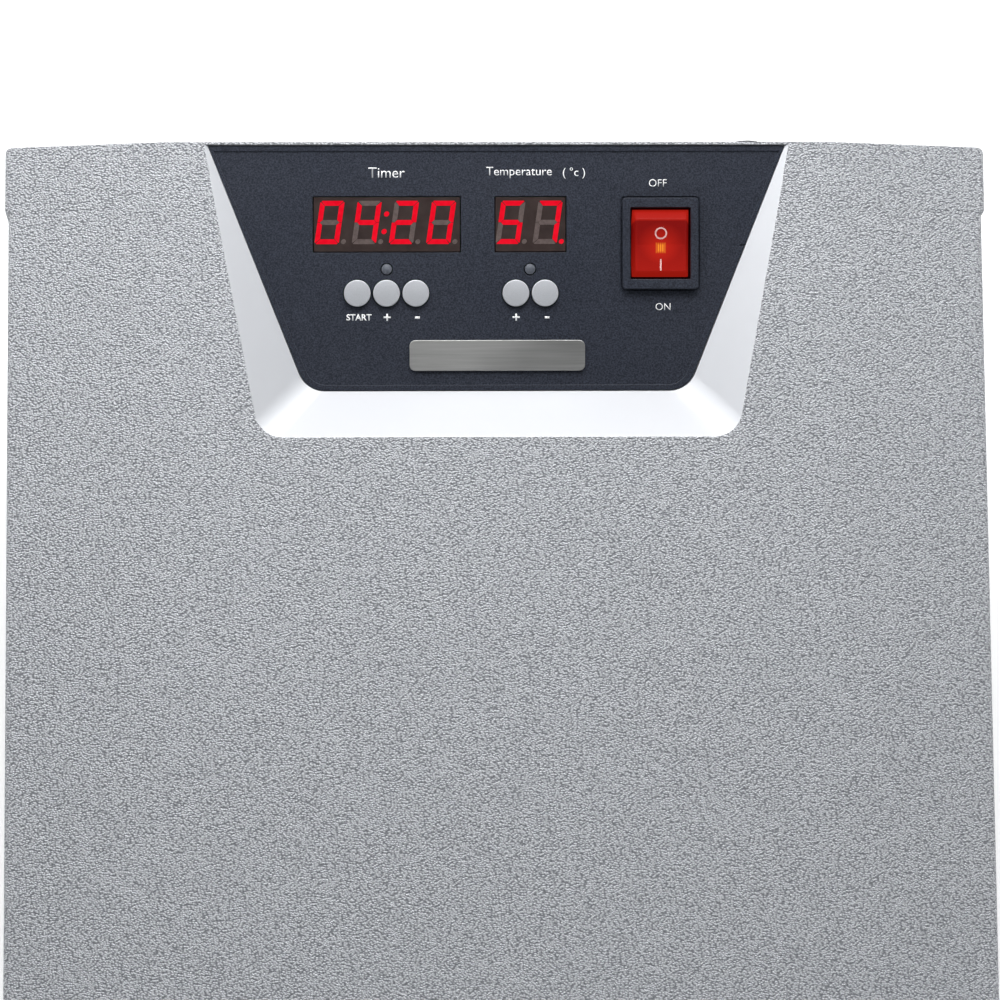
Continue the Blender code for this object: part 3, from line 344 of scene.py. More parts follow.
def circuit_board():
    made = material("circuit_board", (0.012, 0.10, 0.035), 0.38)
    tracks = node(made, "ShaderNodeTexBrick", {
        "Vector": stretched(made), "Scale": 260.0, "Color1": (0.012, 0.105, 0.035, 1),
        "Color2": (0.010, 0.085, 0.030, 1), "Mortar": (0.030, 0.16, 0.060, 1),
    })
    drive(made, "Base Color", tracks.outputs["Color"])
    bump(made, tracks.outputs["Fac"], 0.2, 0.00004)
    return made


def heat_tinted():
    made = material("heater_tube", (0.20, 0.15, 0.12), 0.42, 0.85)
    shade = remap(made, noise(made, 90, 3.0, 0.6), 0.3, 0.7)
    tint(made, shade, (0.15, 0.11, 0.10), (0.30, 0.22, 0.17))
    bump(made, noise(made, 1600), 0.25, 0.00004)
    return made


def mica_board():
    made = material("mica", (0.50, 0.42, 0.28), 0.55)
    cells = {"Vector": stretched(made), "Scale": 420.0}
    flakes = node(made, "ShaderNodeTexVoronoi", cells).outputs["Distance"]
    shade = remap(made, flakes, 0.0, 0.8)
    tint(made, shade, (0.58, 0.50, 0.35), (0.40, 0.33, 0.21))
    bump(made, flakes, 0.2, 0.00005)
    return made


def make_paints():
    across, along = (0.03, 1, 1), (1, 1, 0.03)
    return {
        "grained": silver_grain_with_painted_shade(),
        "smooth": silver_smooth(),
        "charcoal": textured_plastic(
            "charcoal_panel", (0.007, 0.009, 0.016), (0.033, 0.039, 0.057), 0.55, depth=0.00011,
        ),
        "frame": textured_plastic(
            "charcoal_plastic", (0.028, 0.031, 0.038), (0.045, 0.049, 0.058), 0.5,
        ),
        "black": textured_plastic(
            "black_plastic", (0.012, 0.012, 0.014), (0.022, 0.022, 0.025), 0.44,
        ),
        "liner": textured_plastic(
            "grey_liner", (0.20, 0.21, 0.22), (0.25, 0.26, 0.27), 0.48, 1300,
        ),
        "tray": textured_plastic(
            "tray_plastic", (0.70, 0.70, 0.68), (0.78, 0.78, 0.76), 0.42, 1500, 0.00003,
        ),
        "sheet": brushed("sheet_steel", (0.60, 0.61, 0.62), 0.36, across),
        "steel": brushed("bright_steel", (0.68, 0.68, 0.69), 0.26, along),
        "badge": brushed("badge_metal", (0.50, 0.50, 0.49), 0.46, across, 0.00001),
        "rubber": rubbery(),
        "smoked": smoked(),
        "filter": display_filter(),
        "lit": segment_lit(),
        "unlit": segment_unlit(),
        "button": satin_silver(),
        "lens": clear_lens(),
        "ink": ink("white_ink", (0.88, 0.88, 0.89), (0.97, 0.97, 0.97)),
        "mark": ink("mark_ink", (0.70, 0.40, 0.38), (0.80, 0.50, 0.48)),
        "board": circuit_board(),
        "heater": heat_tinted(),
        "mica": mica_board(),
    }


# ---- Shapes -------------------------------------------------------------------------------
def loft(loops):
    """A closed shape through loops of as many points each."""
    shape = bmesh.new()
    rings = [[shape.verts.new(p) for p in loop] for loop in loops]
    for near, far in zip(rings, rings[1:]):
        for i, corner in enumerate(near):
            shape.faces.new((near[i - 1], corner, far[i], far[i - 1]))
    shape.faces.new(rings[0])
    shape.faces.new(rings[-1])
    bmesh.ops.recalc_face_normals(shape, faces=shape.faces)
    return shape


def add(name, data):
    made = bpy.data.objects.new(name, data)
    bpy.context.scene.collection.objects.link(made)
    return made


def body(name, shape):
    mesh = bpy.data.meshes.new(name)
    shape.to_mesh(mesh)
    shape.free()
    return add(name, mesh)


def evaluated(made):
    """A new mesh of what the object looks like with its modifiers applied."""
    bpy.context.view_layer.update()
    graph = bpy.context.evaluated_depsgraph_get()
    return bpy.data.meshes.new_from_object(made.evaluated_get(graph))


def mesh_of(curve):
    """The mesh that a curve or a text gives."""
    made = add("curve", curve)
    mesh = evaluated(made)
    bpy.data.objects.remove(made)
    return mesh


def on_plane(outline, at, plane):
    """A 2D outline as points of a plane, at this place on the third axis."""
    if plane == "XY":
        return [Vector((a, b, at)) for a, b in outline]
    if plane == "XZ":
        return [Vector((a, at, b)) for a, b in outline]
    return [Vector((at, a, b)) for a, b in outline]


def prism(name, outline, low, high, plane="XY"):
    return body(name, loft([on_plane(outline, at, plane) for at in (low, high)]))


def circle(radius, steps, centre=(0.0, 0.0)):
    turn = 2 * math.pi / steps
    return [
        (centre[0] + radius * math.cos(i * turn), centre[1] + radius * math.sin(i * turn))
        for i in range(steps)
    ]


def turned(name, profile, centre=(0.0, 0.0), plane="XY", steps=48):
    """A round body from (radius, place along the axis) pairs."""
    return body(name, loft([on_plane(circle(r, steps, centre), at, plane) for r, at in profile]))


def arc_between(before, corner, after, radius, steps):
    """The arc that rounds a corner of a 2D path, as points."""
    here = Vector(corner)
    back, ahead = (Vector(before) - here).normalized(), (Vector(after) - here).normalized()
    half = back.angle(ahead) / 2
    centre = here + (back + ahead).normalized() * radius / math.sin(half)
    first = here + back * radius / math.tan(half) - centre
    sweep = first.angle_signed(here + ahead * radius / math.tan(half) - centre)
    turns = [Matrix.Rotation(-sweep * step / steps, 2) for step in range(steps + 1)]
    return [tuple(centre + turn @ first) for turn in turns]


def rectangle(low, high, radius=0.0, steps=8):
    corners = [(low[0], low[1]), (high[0], low[1]), (high[0], high[1]), (low[0], high[1])]
    if not radius:
        return corners
    outline = []
    for i, corner in enumerate(corners):
        outline += arc_between(corners[i - 1], corner, corners[(i + 1) % 4], radius, steps)
    return outline


def combine(target, tool, operation):
    modifier = target.modifiers.new(operation.lower(), "BOOLEAN")
    modifier.operation = operation
    modifier.solver = "EXACT"
    modifier.object = tool
    mesh = evaluated(target)
    target.modifiers.clear()
    target.data = mesh
    bpy.data.objects.remove(tool)


def join(target, tool):
    combine(target, tool, "UNION")


def cut(target, tool):
    combine(target, tool, "DIFFERENCE")


# ---- Pieces -------------------------------------------------------------------------------
def soften(piece, width, segments=2, angle=32):
    """Rounds a piece's sharp edges, and keeps the shading of its flat faces flat."""
    weld = piece.modifiers.new("weld", "WELD")
    weld.merge_threshold = 1e-6
    flat = piece.modifiers.new("flat", "DECIMATE")
    flat.decimate_type = "DISSOLVE"
    flat.angle_limit = math.radians(0.5)
    bevel = piece.modifiers.new("bevel", "BEVEL")
    bevel.width = width
    bevel.segments = segments
    bevel.limit_method = "ANGLE"
    bevel.angle_limit = math.radians(angle)
    piece.data.shade_smooth()
    piece.modifiers.new("normals", "WEIGHTED_NORMAL")


def smooth(piece, angle):
    """Shades a piece smooth, but for edges sharper than this many degrees."""
    piece.data.shade_smooth()
    piece.data.set_sharp_from_angle(angle=math.radians(angle))


def place(piece, name, paint, on="housing", instead_of=None):
    """Finishes a new piece: its name, material, body, and the node that it stands for."""
    piece.name = name
    piece.data.name = name
    if paint:
        piece.data.materials.clear()
        piece.data.materials.append(paint)
    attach(piece, on)
    if instead_of:
        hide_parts(instead_of)


def to_panel(piece):
    """Moves a piece that was made flat into the panel's tilted plane."""
    piece.data.transform(panel_frame())
    return piece


# ---- The cover's surface ------------------------------------------------------------------
def plateau_height(depth):
    return PLATEAU_TOP - PLATEAU_FALL * depth / COVER_LENGTH


def ridge_half(depth):
    return RIDGE_REAR + RIDGE_SPREAD * (max(depth, 0.0) / RIDGE_LENGTH) ** 2


def panel_frame():
    back_edge = (0, REAR_Y - PANEL_LIP, plateau_height(PANEL_LIP) - PANEL_STEP)
    return Matrix.Translation(back_edge) @ Matrix.Rotation(PANEL_TILT, 4, "X")


def dip(distance, radius):
    """How far a rounded edge has fallen back at this distance from its face."""
    if not 0 <= distance < radius:
        return 0.0
    return radius - math.sqrt(radius**2 - (radius - distance) ** 2)


def cover_half(depth):
    """Half the cover's width: the ears, their rounded ends, then the body."""
    if depth > EAR_LENGTH:
        return BODY_HALF - dip(COVER_LENGTH - depth, LIP_RADIUS)
    ear_end = dip(max(EAR_LENGTH - depth, 0.0), EAR_PROUD)
    return EAR_HALF - dip(depth, CORNER_RADIUS) - ear_end


def cover_row(depth, half, inset=0.0, bottom=SKIRT_BOTTOM):
    """The outline of the cover's section at this depth, from foot to foot, moved in by inset."""
    sunk = inset + dip(depth, LIP_RADIUS) + dip(COVER_LENGTH - depth, LIP_RADIUS)
    top, side = plateau_height(depth) - sunk, half - inset
    ridge = (ridge_half(depth), top)
    edge = (side, PLATEAU_TOP - SHOULDER_DROP - sunk)
    foot = (side, bottom)
    profile = [foot] + arc_between(foot, edge, ridge, EDGE_RADIUS, 6)
    profile += arc_between(edge, ridge, (0, top), RIDGE_RADIUS, 8)
    return on_plane(profile + [(-x, z) for x, z in reversed(profile)], REAR_Y - depth, "XZ")


def cover_depths():
    """Where the cover's rows lie: close together where an edge is rounded."""
    def edge(radius):
        return [radius * (1 - math.cos(step * math.pi / 8)) for step in range(5)]

    rear = sorted(set(edge(LIP_RADIUS) + [d for d in edge(CORNER_RADIUS) if d > LIP_RADIUS]))
    ear = [EAR_LENGTH - d for d in reversed(edge(EAR_PROUD))]
    middle = [EAR_LENGTH + 1e-5] + [0.03 + 0.01 * step for step in range(40)]
    front = [COVER_LENGTH - d for d in reversed(edge(LIP_RADIUS))]
    return rear + ear + middle + front


def bay_outline(rear_half, front_half, rear, front, corner):
    """The right half of the bay's outline, from the middle of its front to that of its back."""
    arc = arc_between((0, front), (front_half, front), (rear_half, rear), corner, 10)
    row = [Vector((front_half * step / 6, front)) for step in range(6)]
    row += [Vector(p) for p in arc]
    side, back = Vector(arc[-1]), Vector((rear_half, rear))
    row += [side.lerp(back, step / 8) for step in range(1, 8)]
    row += [back, Vector((rear_half / 2, rear)), Vector((0, rear))]
    return row


def brim_row(grow):
    """The bay's outline on the plateau, grown by grow."""
    return bay_outline(
        BAY_REAR_HALF + grow, BAY_FRONT_HALF + grow, -PANEL_LIP + grow, -BAY_LENGTH - grow,
        BAY_CORNER + grow,
    )


def panel_row(grow):
    """The bay's outline on the panel, grown by grow, as (x, y) in its plane."""
    return bay_outline(
        PANEL_REAR_HALF + grow, PANEL_FRONT_HALF + grow, grow, -PANEL_LENGTH - grow,
        PANEL_CORNER + grow,
    )


def mirrored(row):
    """A right-hand row from middle to middle, as one closed loop over both sides."""
    return row + [Vector((-p.x, *p[1:])) for p in reversed(row[1:-1])]


def on_panel(outline, height):
    return [panel_frame() @ Vector((p.x, p.y, height)) for p in outline]


def on_plateau(outline, rise=0.0):
    return [Vector((p.x, REAR_Y + p.y, plateau_height(-p.y) + rise)) for p in outline]


def bay_loops():
    """Loops from the fascia's seat up the bay's walls, over its rounded brim and clear of it."""
    aside = 0.001
    clear, above = Vector((0, 0, 2e-5)), Vector((0, 0, 0.003))
    foot, brim = on_panel(panel_row(0.0), 0.0), on_plateau(brim_row(0.0))
    outward = on_plateau(brim_row(aside))
    rows = [on_panel(panel_row(0.0), -FASCIA_THICK - GAP), foot]
    rows += [[low.lerp(high, share) for low, high in zip(foot, brim)] for share in (0.3, 0.6)]
    steps = 6
    for step in range(steps + 1):
        t = step / steps
        row = []
        for low, high, out in zip(foot, brim, outward):
            # Towards the back the wall gets low, and the rounding takes a third of it at most
            reach = min(BRIM_ROUND, 0.35 * (high - low).length)
            start = high + (low - high).normalized() * reach
            end = high + (out - high) * reach / aside + clear
            row.append(start.lerp(high, t).lerp(high.lerp(end, t), t))
        rows.append(row)
    rows.append([p + above for p in rows[-1]])
    return [mirrored(row) for row in rows]


def add_bosses(cover):
    """The two blocks inside the rear wall that take the rear cover's upper screws."""
    for x in (-SCREW_X, SCREW_X):
        low, high = (x - BOSS_HALF, REAR_Y - 0.017), (x + BOSS_HALF, REAR_Y - SKIN - 2 * GAP)
        bottom = UPPER_SCREW_Z - BOSS_HALF
        join(cover, prism("boss", rectangle(low, high), bottom, SKIRT_BOTTOM + 0.012))
        half = BOSS_HALF - 0.001
        low, high = (x - half, REAR_Y - 0.010), (x + half, REAR_Y - SKIN / 2)
        web = prism("web", rectangle(low, high), SKIRT_BOTTOM + 0.002, SKIRT_BOTTOM + 0.010)
        join(cover, web)
        hole = [(SCREW_HOLE_RADIUS, REAR_Y - 0.03), (SCREW_HOLE_RADIUS, REAR_Y + 0.01)]
        cut(cover, turned("hole", hole, (x, UPPER_SCREW_Z), "XZ", 16))


def make_cover(paint):
    """A thin shell with a bay sunk in it: smooth inside the bay and grained around it."""
    cover = body("cover", loft([cover_row(d, cover_half(d)) for d in cover_depths()]))
    depths = [SKIN] + [0.03 * step for step in range(1, 14)] + [COVER_LENGTH + 0.01]
    inside = [cover_row(d, BODY_HALF, SKIN, SKIRT_BOTTOM - 0.01) for d in depths]
    cut(cover, body("hollow", loft(inside)))

    wall, floor, ledge = 0.0024, 0.0022, 0.004
    seat = -FASCIA_THICK - GAP
    tub_low = on_panel(panel_row(wall), seat - floor)
    tub_high = on_plateau(brim_row(wall), -SKIN / 2)
    tub = [mirrored(row) for row in (tub_low, tub_high)]
    for loop in tub:
        for point in loop:
            point.y = min(point.y, REAR_Y - SKIN / 2)
    join(cover, body("tub", loft(tub)))
    add_bosses(cover)

    finishes = (paint["grained"], paint["smooth"])
    for finish in finishes:
        cover.data.materials.append(finish)
    inner = panel_row(-ledge)
    opening = loft([mirrored(on_panel(inner, height)) for height in (seat - 0.006, seat + 0.001)])
    for tool in (loft(bay_loops()), opening):
        for face in tool.faces:
            # The smooth finish ends a little below the rounded brim
            highest = max(v.co.z - plateau_height(REAR_Y - v.co.y) for v in face.verts)
            face.material_index = int(highest < -0.2 * BRIM_ROUND)
        cutter = body("bay", tool)
        for finish in finishes:
            cutter.data.materials.append(finish)
        cut(cover, cutter)
    smooth(cover, 35)
    cover.modifiers.new("normals", "WEIGHTED_NORMAL").keep_sharp = True
    place(cover, "moulded_cover", None, instead_of="top_cover")


# ---- The control panel --------------------------------------------------------------------
def window(name, x, v, width, height, low, high, radius=0.0):
    """A block at a place on the panel, from a low to a high height."""
    corners = (x - width / 2, -v - height / 2), (x + width / 2, -v + height / 2)
    return prism(name, rectangle(*corners, radius, 6), low, high)


def panel_loop(grow):
    return [tuple(p) for p in mirrored(panel_row(grow))]


def make_fascia(paint):
    fascia = prism("fascia", panel_loop(-GAP), -FASCIA_THICK, 0.0)
    cut(fascia, prism("face", panel_loop(-GAP - FASCIA_RIM), -FASCIA_SUNK, 0.002))
    for x, width in ((TIMER_X, TIMER_WIDTH), (THERMO_X, THERMO_WIDTH)):
        sides = (width + FIT, DISPLAY_HEIGHT + FIT)
        cut(fascia, window("hole", x, DISPLAY_V, *sides, *THROUGH, 0.0003))
    sides = (CASE_WIDTH + FIT, CASE_LENGTH + FIT)
    cut(fascia, window("hole", ROCKER_X, ROCKER_V, *sides, *THROUGH))
    groove, floor = 0.0010, -FASCIA_SUNK - 0.0005  # the shadow line around the switch's bezel
    sides = (BEZEL_WIDTH + groove, BEZEL_LENGTH + groove)
    cut(fascia, window("groove", ROCKER_X, ROCKER_V, *sides, floor, 0.01, 0.0014))
    holes = [(x, BUTTON_V, BUTTON_RADIUS + GAP) for x in BUTTONS.values()]
    holes += [(x, INDICATOR_V, INDICATOR_RADIUS + GAP) for x in INDICATORS.values()]
    for x, v, radius in holes:
        profile = [(radius, height) for height in THROUGH]
        cut(fascia, turned("hole", profile, (x, -v), steps=40))
    cut(fascia, window("notch", *NOTCH, -FASCIA_SUNK, 0.01))
    soften(to_panel(fascia), 0.00014)
    place(fascia, "panel_fascia", paint["charcoal"], instead_of="control_fascia")

    low = -FASCIA_SUNK + GAP
    badge = window("badge", BADGE_X, BADGE_V, BADGE_WIDTH, BADGE_HEIGHT, low, low + 0.0006, 0.002)
    soften(to_panel(badge), 0.0002, 3)
    place(badge, "blank_badge", paint["badge"], instead_of="badge_plate")


def segment_outlines():
    """The seven segments of an upright digit centred on the origin, as outlines by letter."""
    outer_x, outer_y = DIGIT_WIDTH / 2, DIGIT_HEIGHT / 2
    inner_x, inner_y = outer_x - DIGIT_STROKE, outer_y - DIGIT_STROKE
    middle_x, half = outer_x - DIGIT_STROKE / 2, DIGIT_STROKE / 2
    gap, corner = SEGMENT_GAP, DIGIT_STROKE * 0.35
    top = [
        (-outer_x + corner + gap, outer_y), (outer_x - corner - gap, outer_y),
        (outer_x - corner * 0.6 - gap, outer_y - corner * 0.4), (inner_x - gap, inner_y),
        (-inner_x + gap, inner_y), (-outer_x + corner * 0.6 + gap, outer_y - corner * 0.4),
    ]
    upright = [
        (outer_x, outer_y - corner - gap), (outer_x - corner * 0.4, outer_y - corner * 0.6 - gap),
        (inner_x, inner_y - gap), (inner_x, half + gap), (middle_x, gap), (outer_x, gap),
    ]
    middle = [
        (-middle_x + gap, 0), (-inner_x + gap, half), (inner_x - gap, half), (middle_x - gap, 0),
        (inner_x - gap, -half), (-inner_x + gap, -half),
    ]

    def flip(outline, x, y):
        return [(x * a, y * b) for a, b in outline]

    return {
        "a": top, "b": upright, "c": flip(upright, 1, -1), "d": flip(top, 1, -1),
        "e": flip(upright, -1, -1), "f": flip(upright, -1, 1), "g": middle,
    }


def plates(name, outlines, low, high):
    """Thin flat pieces side by side in one object."""
    shape = bmesh.new()
    for outline in outlines:
        part = loft([on_plane(outline, at, "XY") for at in (low, high)])
        mesh = bpy.data.meshes.new(name)
        part.to_mesh(mesh)
        part.free()
        shape.from_mesh(mesh)
        bpy.data.meshes.remove(mesh)
    return body(name, shape)


def display_outlines(text, centre_x, dots_lit, colon):
    """(lit, unlit) outlines of a display's segments and dots, slanted, on the panel."""
    lit, unlit = [], []
    first = centre_x - DIGIT_PITCH * (len(text) - 1) / 2 - DIGITS_LEFT
    middle_y = -DISPLAY_V + DIGITS_UP
    dot_at = (DIGIT_WIDTH / 2 + DOT_ASIDE, -DIGIT_HEIGHT / 2 + DOT_RADIUS)
    segments = segment_outlines()

    def slanted(outline, x):
        return [(x + a + DIGIT_SLANT * b, middle_y + b) for a, b in outline]

    for i, digit in enumerate(text):
        x = first + i * DIGIT_PITCH
        for letter, outline in segments.items():
            (lit if letter in LIT_SEGMENTS[digit] else unlit).append(slanted(outline, x))
        dot = slanted(circle(DOT_RADIUS, 20, dot_at), x)
        (lit if i in dots_lit else unlit).append(dot)
    if colon:
        x = first + 1.5 * DIGIT_PITCH
        lit += [slanted(circle(COLON_RADIUS, 20, (0, y)), x) for y in COLON_HEIGHTS]
    return lit, unlit


def make_displays(paint):
    face, sunk, proud = -0.0006, 0.0001, 0.00004
    modules = (
        ("timer", TIMER_X, TIMER_WIDTH, "0420", (), True),
        ("temperature", THERMO_X, THERMO_WIDTH, "57", (1,), False),
    )
    for name, x, width, text, dots_lit, colon in modules:
        sides = (width, DISPLAY_HEIGHT)
        block = window("module", x, DISPLAY_V, *sides, MODULE_FOOT, face, 0.0002)
        soften(to_panel(block), 0.00015)
        place(block, f"{name}_module", paint["filter"], instead_of=f"{name}_display")
        lit, unlit = display_outlines(text, x, dots_lit, colon)
        for kind, outlines in (("lit", lit), ("unlit", unlit)):
            segments = to_panel(plates("segments", outlines, face - sunk, face + proud))
            place(segments, f"{name}_{kind}_segments", paint[kind])


def dome(radius, rise, edge):
    """(radius, height) pairs of a shallow dome with a rounded rim."""
    profile = []
    for step in range(5):
        turn = step * math.pi / 8
        profile.append((radius - edge * (1 - math.cos(turn)), edge * math.sin(turn)))
    for step in range(1, 9):
        turn = step * math.pi / 16
        profile.append(((radius - edge) * (1 - step / 8), edge + rise * math.sin(turn)))
    profile[-1] = (radius * 0.02, profile[-1][1])
    return profile


def make_buttons(paint):
    stem = [(STEM_RADIUS, STEM_FOOT), (STEM_RADIUS, CAP_FOOT), (BUTTON_RADIUS, CAP_FOOT)]
    for name, x in BUTTONS.items():
        top = [(r, BUTTON_TOP + z) for r, z in dome(BUTTON_RADIUS, 0.0003, 0.0003)]
        cap = to_panel(turned("cap", stem + top, (x, -BUTTON_V)))
        smooth(cap, 50)
        place(cap, f"{name}_cap", paint["button"], on=f"{name}_key", instead_of=f"{name}_button")
    for name, x in INDICATORS.items():
        top = [(r, -FASCIA_SUNK + z) for r, z in dome(INDICATOR_RADIUS, 0.0004, 0.0003)]
        profile = [(INDICATOR_RADIUS, MODULE_FOOT), *top]
        lens = to_panel(turned("lens", profile, (x, -INDICATOR_V), steps=32))
        smooth(lens, 50)
        place(lens, f"{name}_lens", paint["lens"], instead_of=name)


def rocker_axis():
    """The rocker's own frame at rest: its axis across the panel, tilted to its on position."""
    seat = Matrix.Translation((ROCKER_X, -ROCKER_V, ROCKER_AXIS))
    return panel_frame() @ seat @ Matrix.Rotation(ROCKER_TILT, 4, "X")


def make_switch_housing(paint):
    seat, at = -FASCIA_SUNK + GAP, (ROCKER_X, ROCKER_V)
    housing = window("bezel", *at, BEZEL_WIDTH, BEZEL_LENGTH, seat, BEZEL_TOP, 0.0012)
    join(housing, window("case", *at, CASE_WIDTH, CASE_LENGTH, CASE_FOOT, 0.0010))
    cut(housing, window("well", *at, WELL_WIDTH, WELL_LENGTH, WELL_FLOOR, 0.01, 0.0004))
    for v in (ROCKER_V - 0.007, ROCKER_V, ROCKER_V + 0.007):
        blade = window("blade", ROCKER_X, v, 0.0063, 0.0008, CASE_FOOT - 0.008, CASE_FOOT + 0.001)
        join(housing, blade)
    soften(to_panel(housing), 0.00025, 3)
    place(housing, "switch_housing", paint["charcoal"], instead_of="rocker_housing")


def make_paddle(axis):
    """The rocker's paddle: two slopes that rise from a valley over its axis to the crests."""
    end, lean = ROCKER_LENGTH / 2, math.tan(ROCKER_TILT)
    draft = 0.0011  # its sides lean in towards its top
    half = [
        (ROCKER_CREST * share, ROCKER_VALLEY + ROCKER_CREST * share * lean)
        for share in (0, 0.25, 0.5, 0.75, 1)
    ]
    half += [(end, -0.0005), (0.0072, -0.0045)]
    profile = half + [(-y, z) for y, z in reversed(half) if y]
    low = [(y * (1.0 if z < 0 else 1.12), min(z, -0.0003)) for y, z in profile]
    sections = [(-ROCKER_WIDTH / 2, low), (draft - ROCKER_WIDTH / 2, profile)]
    sections += [(ROCKER_WIDTH / 2 - draft, profile), (ROCKER_WIDTH / 2, low)]
    paddle = body("paddle", loft([on_plane(section, at, "YZ") for at, section in sections]))
    paddle.data.transform(axis)
    soften(paddle, 0.00022, 2, 14)
    lamp = axis @ Vector((0.0, -0.0012, ROCKER_VALLEY))
    place(paddle, "lit_paddle", rocker_red(lamp), on="rocker", instead_of="rocker_paddle")


def make_rocker(paint):
    make_switch_housing(paint)
    axis = rocker_axis()
    make_paddle(axis)
    thin, outer, inner = 0.00006, 0.0021, 0.0016
    ring = turned("ring", [(outer, -thin), (outer, thin)], steps=40)
    cut(ring, turned("hole", [(inner, -0.001), (inner, 0.001)], steps=40))
    bar = prism("bar", rectangle((-0.00026, -0.0020), (0.00026, 0.0020), 0.0002, 3), -thin, thin)
    for mark, name, along in ((ring, "off_mark", 0.0039), (bar, "on_mark", -0.0069)):
        slope = Matrix.Rotation(math.copysign(ROCKER_TILT, along), 4, "X")
        height = ROCKER_VALLEY + abs(along) * math.tan(ROCKER_TILT)
        mark.data.transform(axis @ Matrix.Translation((0, along, height)) @ slope)
        place(mark, name, paint["mark"], on="rocker")


def legend(text, x, v, width, bold):
    """Printed words, centred at a place on the panel and scaled to a width."""
    curve = bpy.data.curves.new("legend", "FONT")
    curve.body = text
    curve.align_x, curve.align_y = "CENTER", "CENTER"
    curve.offset = bold
    curve.resolution_u = 4
    mesh = mesh_of(curve)
    xs, ys = [p.co.x for p in mesh.vertices], [p.co.y for p in mesh.vertices]
    scale = width / (max(xs) - min(xs))
    centre = Vector(((max(xs) + min(xs)) / 2, (max(ys) + min(ys)) / 2, 0))
    mesh.transform(Matrix.Scale(scale, 4) @ Matrix.Translation(-centre))
    shape = bmesh.new()
    shape.from_mesh(mesh)
    bpy.data.meshes.remove(mesh)
    bmesh.ops.remove_doubles(shape, verts=shape.verts, dist=2e-6)
    made = bmesh.ops.extrude_face_region(shape, geom=list(shape.faces))["geom"]
    raised = [item for item in made if isinstance(item, bmesh.types.BMVert)]
    bmesh.ops.translate(shape, verts=raised, vec=(0, 0, INK_THICK))
    bmesh.ops.recalc_face_normals(shape, faces=shape.faces)
    bmesh.ops.translate(shape, verts=shape.verts, vec=(x, -v, -FASCIA_SUNK - INK_SUNK))
    return to_panel(body("legend", shape))


LEGENDS = {  # words, place across and down the panel, width, how much bolder than the font
    "timer_legend": ("Timer", -0.0377, 0.0094, 0.0124, -0.004),
    "temperature_legend": ("Temperature", 0.0076, 0.0094, 0.0224, -0.005),
    "degrees_legend": ("( °c )", 0.0264, 0.0096, 0.0076, -0.004),
    "off_legend": ("OFF", 0.0551, 0.0130, 0.0061, -0.008),
    "on_legend": ("ON", 0.0568, 0.0553, 0.0051, -0.008),
    "start_legend": ("START", -0.0472, 0.0588, 0.0086, 0.022),
    "timer_plus_legend": ("+", -0.0376, 0.0588, 0.0024, 0.02),
    "timer_minus_legend": ("-", -0.0273, 0.0589, 0.0016, 0.02),
    "temperature_plus_legend": ("+", 0.0065, 0.0588, 0.0024, 0.02),
    "temperature_minus_legend": ("-", 0.0171, 0.0589, 0.0016, 0.02),
}


def make_legends(paint):
    for name, words in LEGENDS.items():
        place(legend(*words), name, paint["ink"])


# ---- Trays --------------------------------------------------------------------------------
def lattice(low, high, pitch, bar, bottom, top):
    """A flat grid of bars with square holes, as one closed body."""
    cells = [max(1, round((high[i] - low[i] - bar) / pitch)) for i in (0, 1)]
    lines = []
    for i in (0, 1):
        step = (high[i] - low[i] - bar) / cells[i]
        lines.append([low[i] + n * step + edge for n in range(cells[i] + 1) for edge in (0, bar)])
    shape = bmesh.new()
    grid = {
        (i, j, k): shape.verts.new((x, y, z))
        for i, x in enumerate(lines[0])
        for j, y in enumerate(lines[1])
        for k, z in enumerate((bottom, top))
    }

    def solid(i, j):
        inside = 0 <= i < len(lines[0]) - 1 and 0 <= j < len(lines[1]) - 1
        return inside and not (i % 2 and j % 2)

    for i in range(len(lines[0]) - 1):
        for j in range(len(lines[1]) - 1):
            if not solid(i, j):
                continue
            square = [(i, j), (i + 1, j), (i + 1, j + 1), (i, j + 1)]
            shape.faces.new([grid[a, b, 1] for a, b in square])
            shape.faces.new([grid[a, b, 0] for a, b in reversed(square)])
            beside = [(i, j - 1), (i + 1, j), (i, j + 1), (i - 1, j)]
            for (a, b), (c, d), (e, f) in zip(square, square[1:] + square[:1], beside):
                if not solid(e, f):
                    shape.faces.new((grid[a, b, 0], grid[c, d, 0], grid[c, d, 1], grid[a, b, 1]))
    return body("lattice", shape)


def make_trays(paint):
    """A rounded rim with a pull at the front, a middle rib, and a fine grid for a floor."""
    pull_reach, rim = 0.008, 0.006
    inset = rim - 0.001  # the grid and the rib end inside the rim
    for level in ("lower", "middle", "upper"):
        tray, ridden = f"{level}_tray", f"{level}_tray_body"
        low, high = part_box(tray)
        front = low.y + pull_reach
        outer = rectangle((low.x, front), (high.x, high.y), 0.008)
        inner = rectangle((low.x + rim, front + rim), (high.x - rim, high.y - rim), 0.005)
        ring = prism("ring", outer, low.z, high.z)
        cut(ring, prism("well", inner, low.z - 0.01, high.z + 0.01))
        pull = rectangle((-0.040, low.y), (0.040, front + 0.001), 0.004)
        join(ring, prism("pull", pull, low.z + 0.003, low.z + 0.0065))
        soften(ring, 0.0009, 3)
        place(ring, f"{tray}_rim", paint["tray"], on=ridden, instead_of=tray)

        corners = (low.x + inset, front + inset), (high.x - inset, high.y - inset)
        grid = lattice(*corners, 0.0066, 0.0016, low.z + 0.0004, low.z + 0.0021)
        place(grid, f"{tray}_grid", paint["tray"], on=ridden)
        middle = (front + high.y) / 2
        strip = rectangle((low.x + inset, middle - 0.004), (high.x - inset, middle + 0.004))
        rib = prism("rib", strip, low.z + 0.0003, low.z + 0.0025)
        soften(rib, 0.0005)
        place(rib, f"{tray}_rib", paint["tray"], on=ridden)


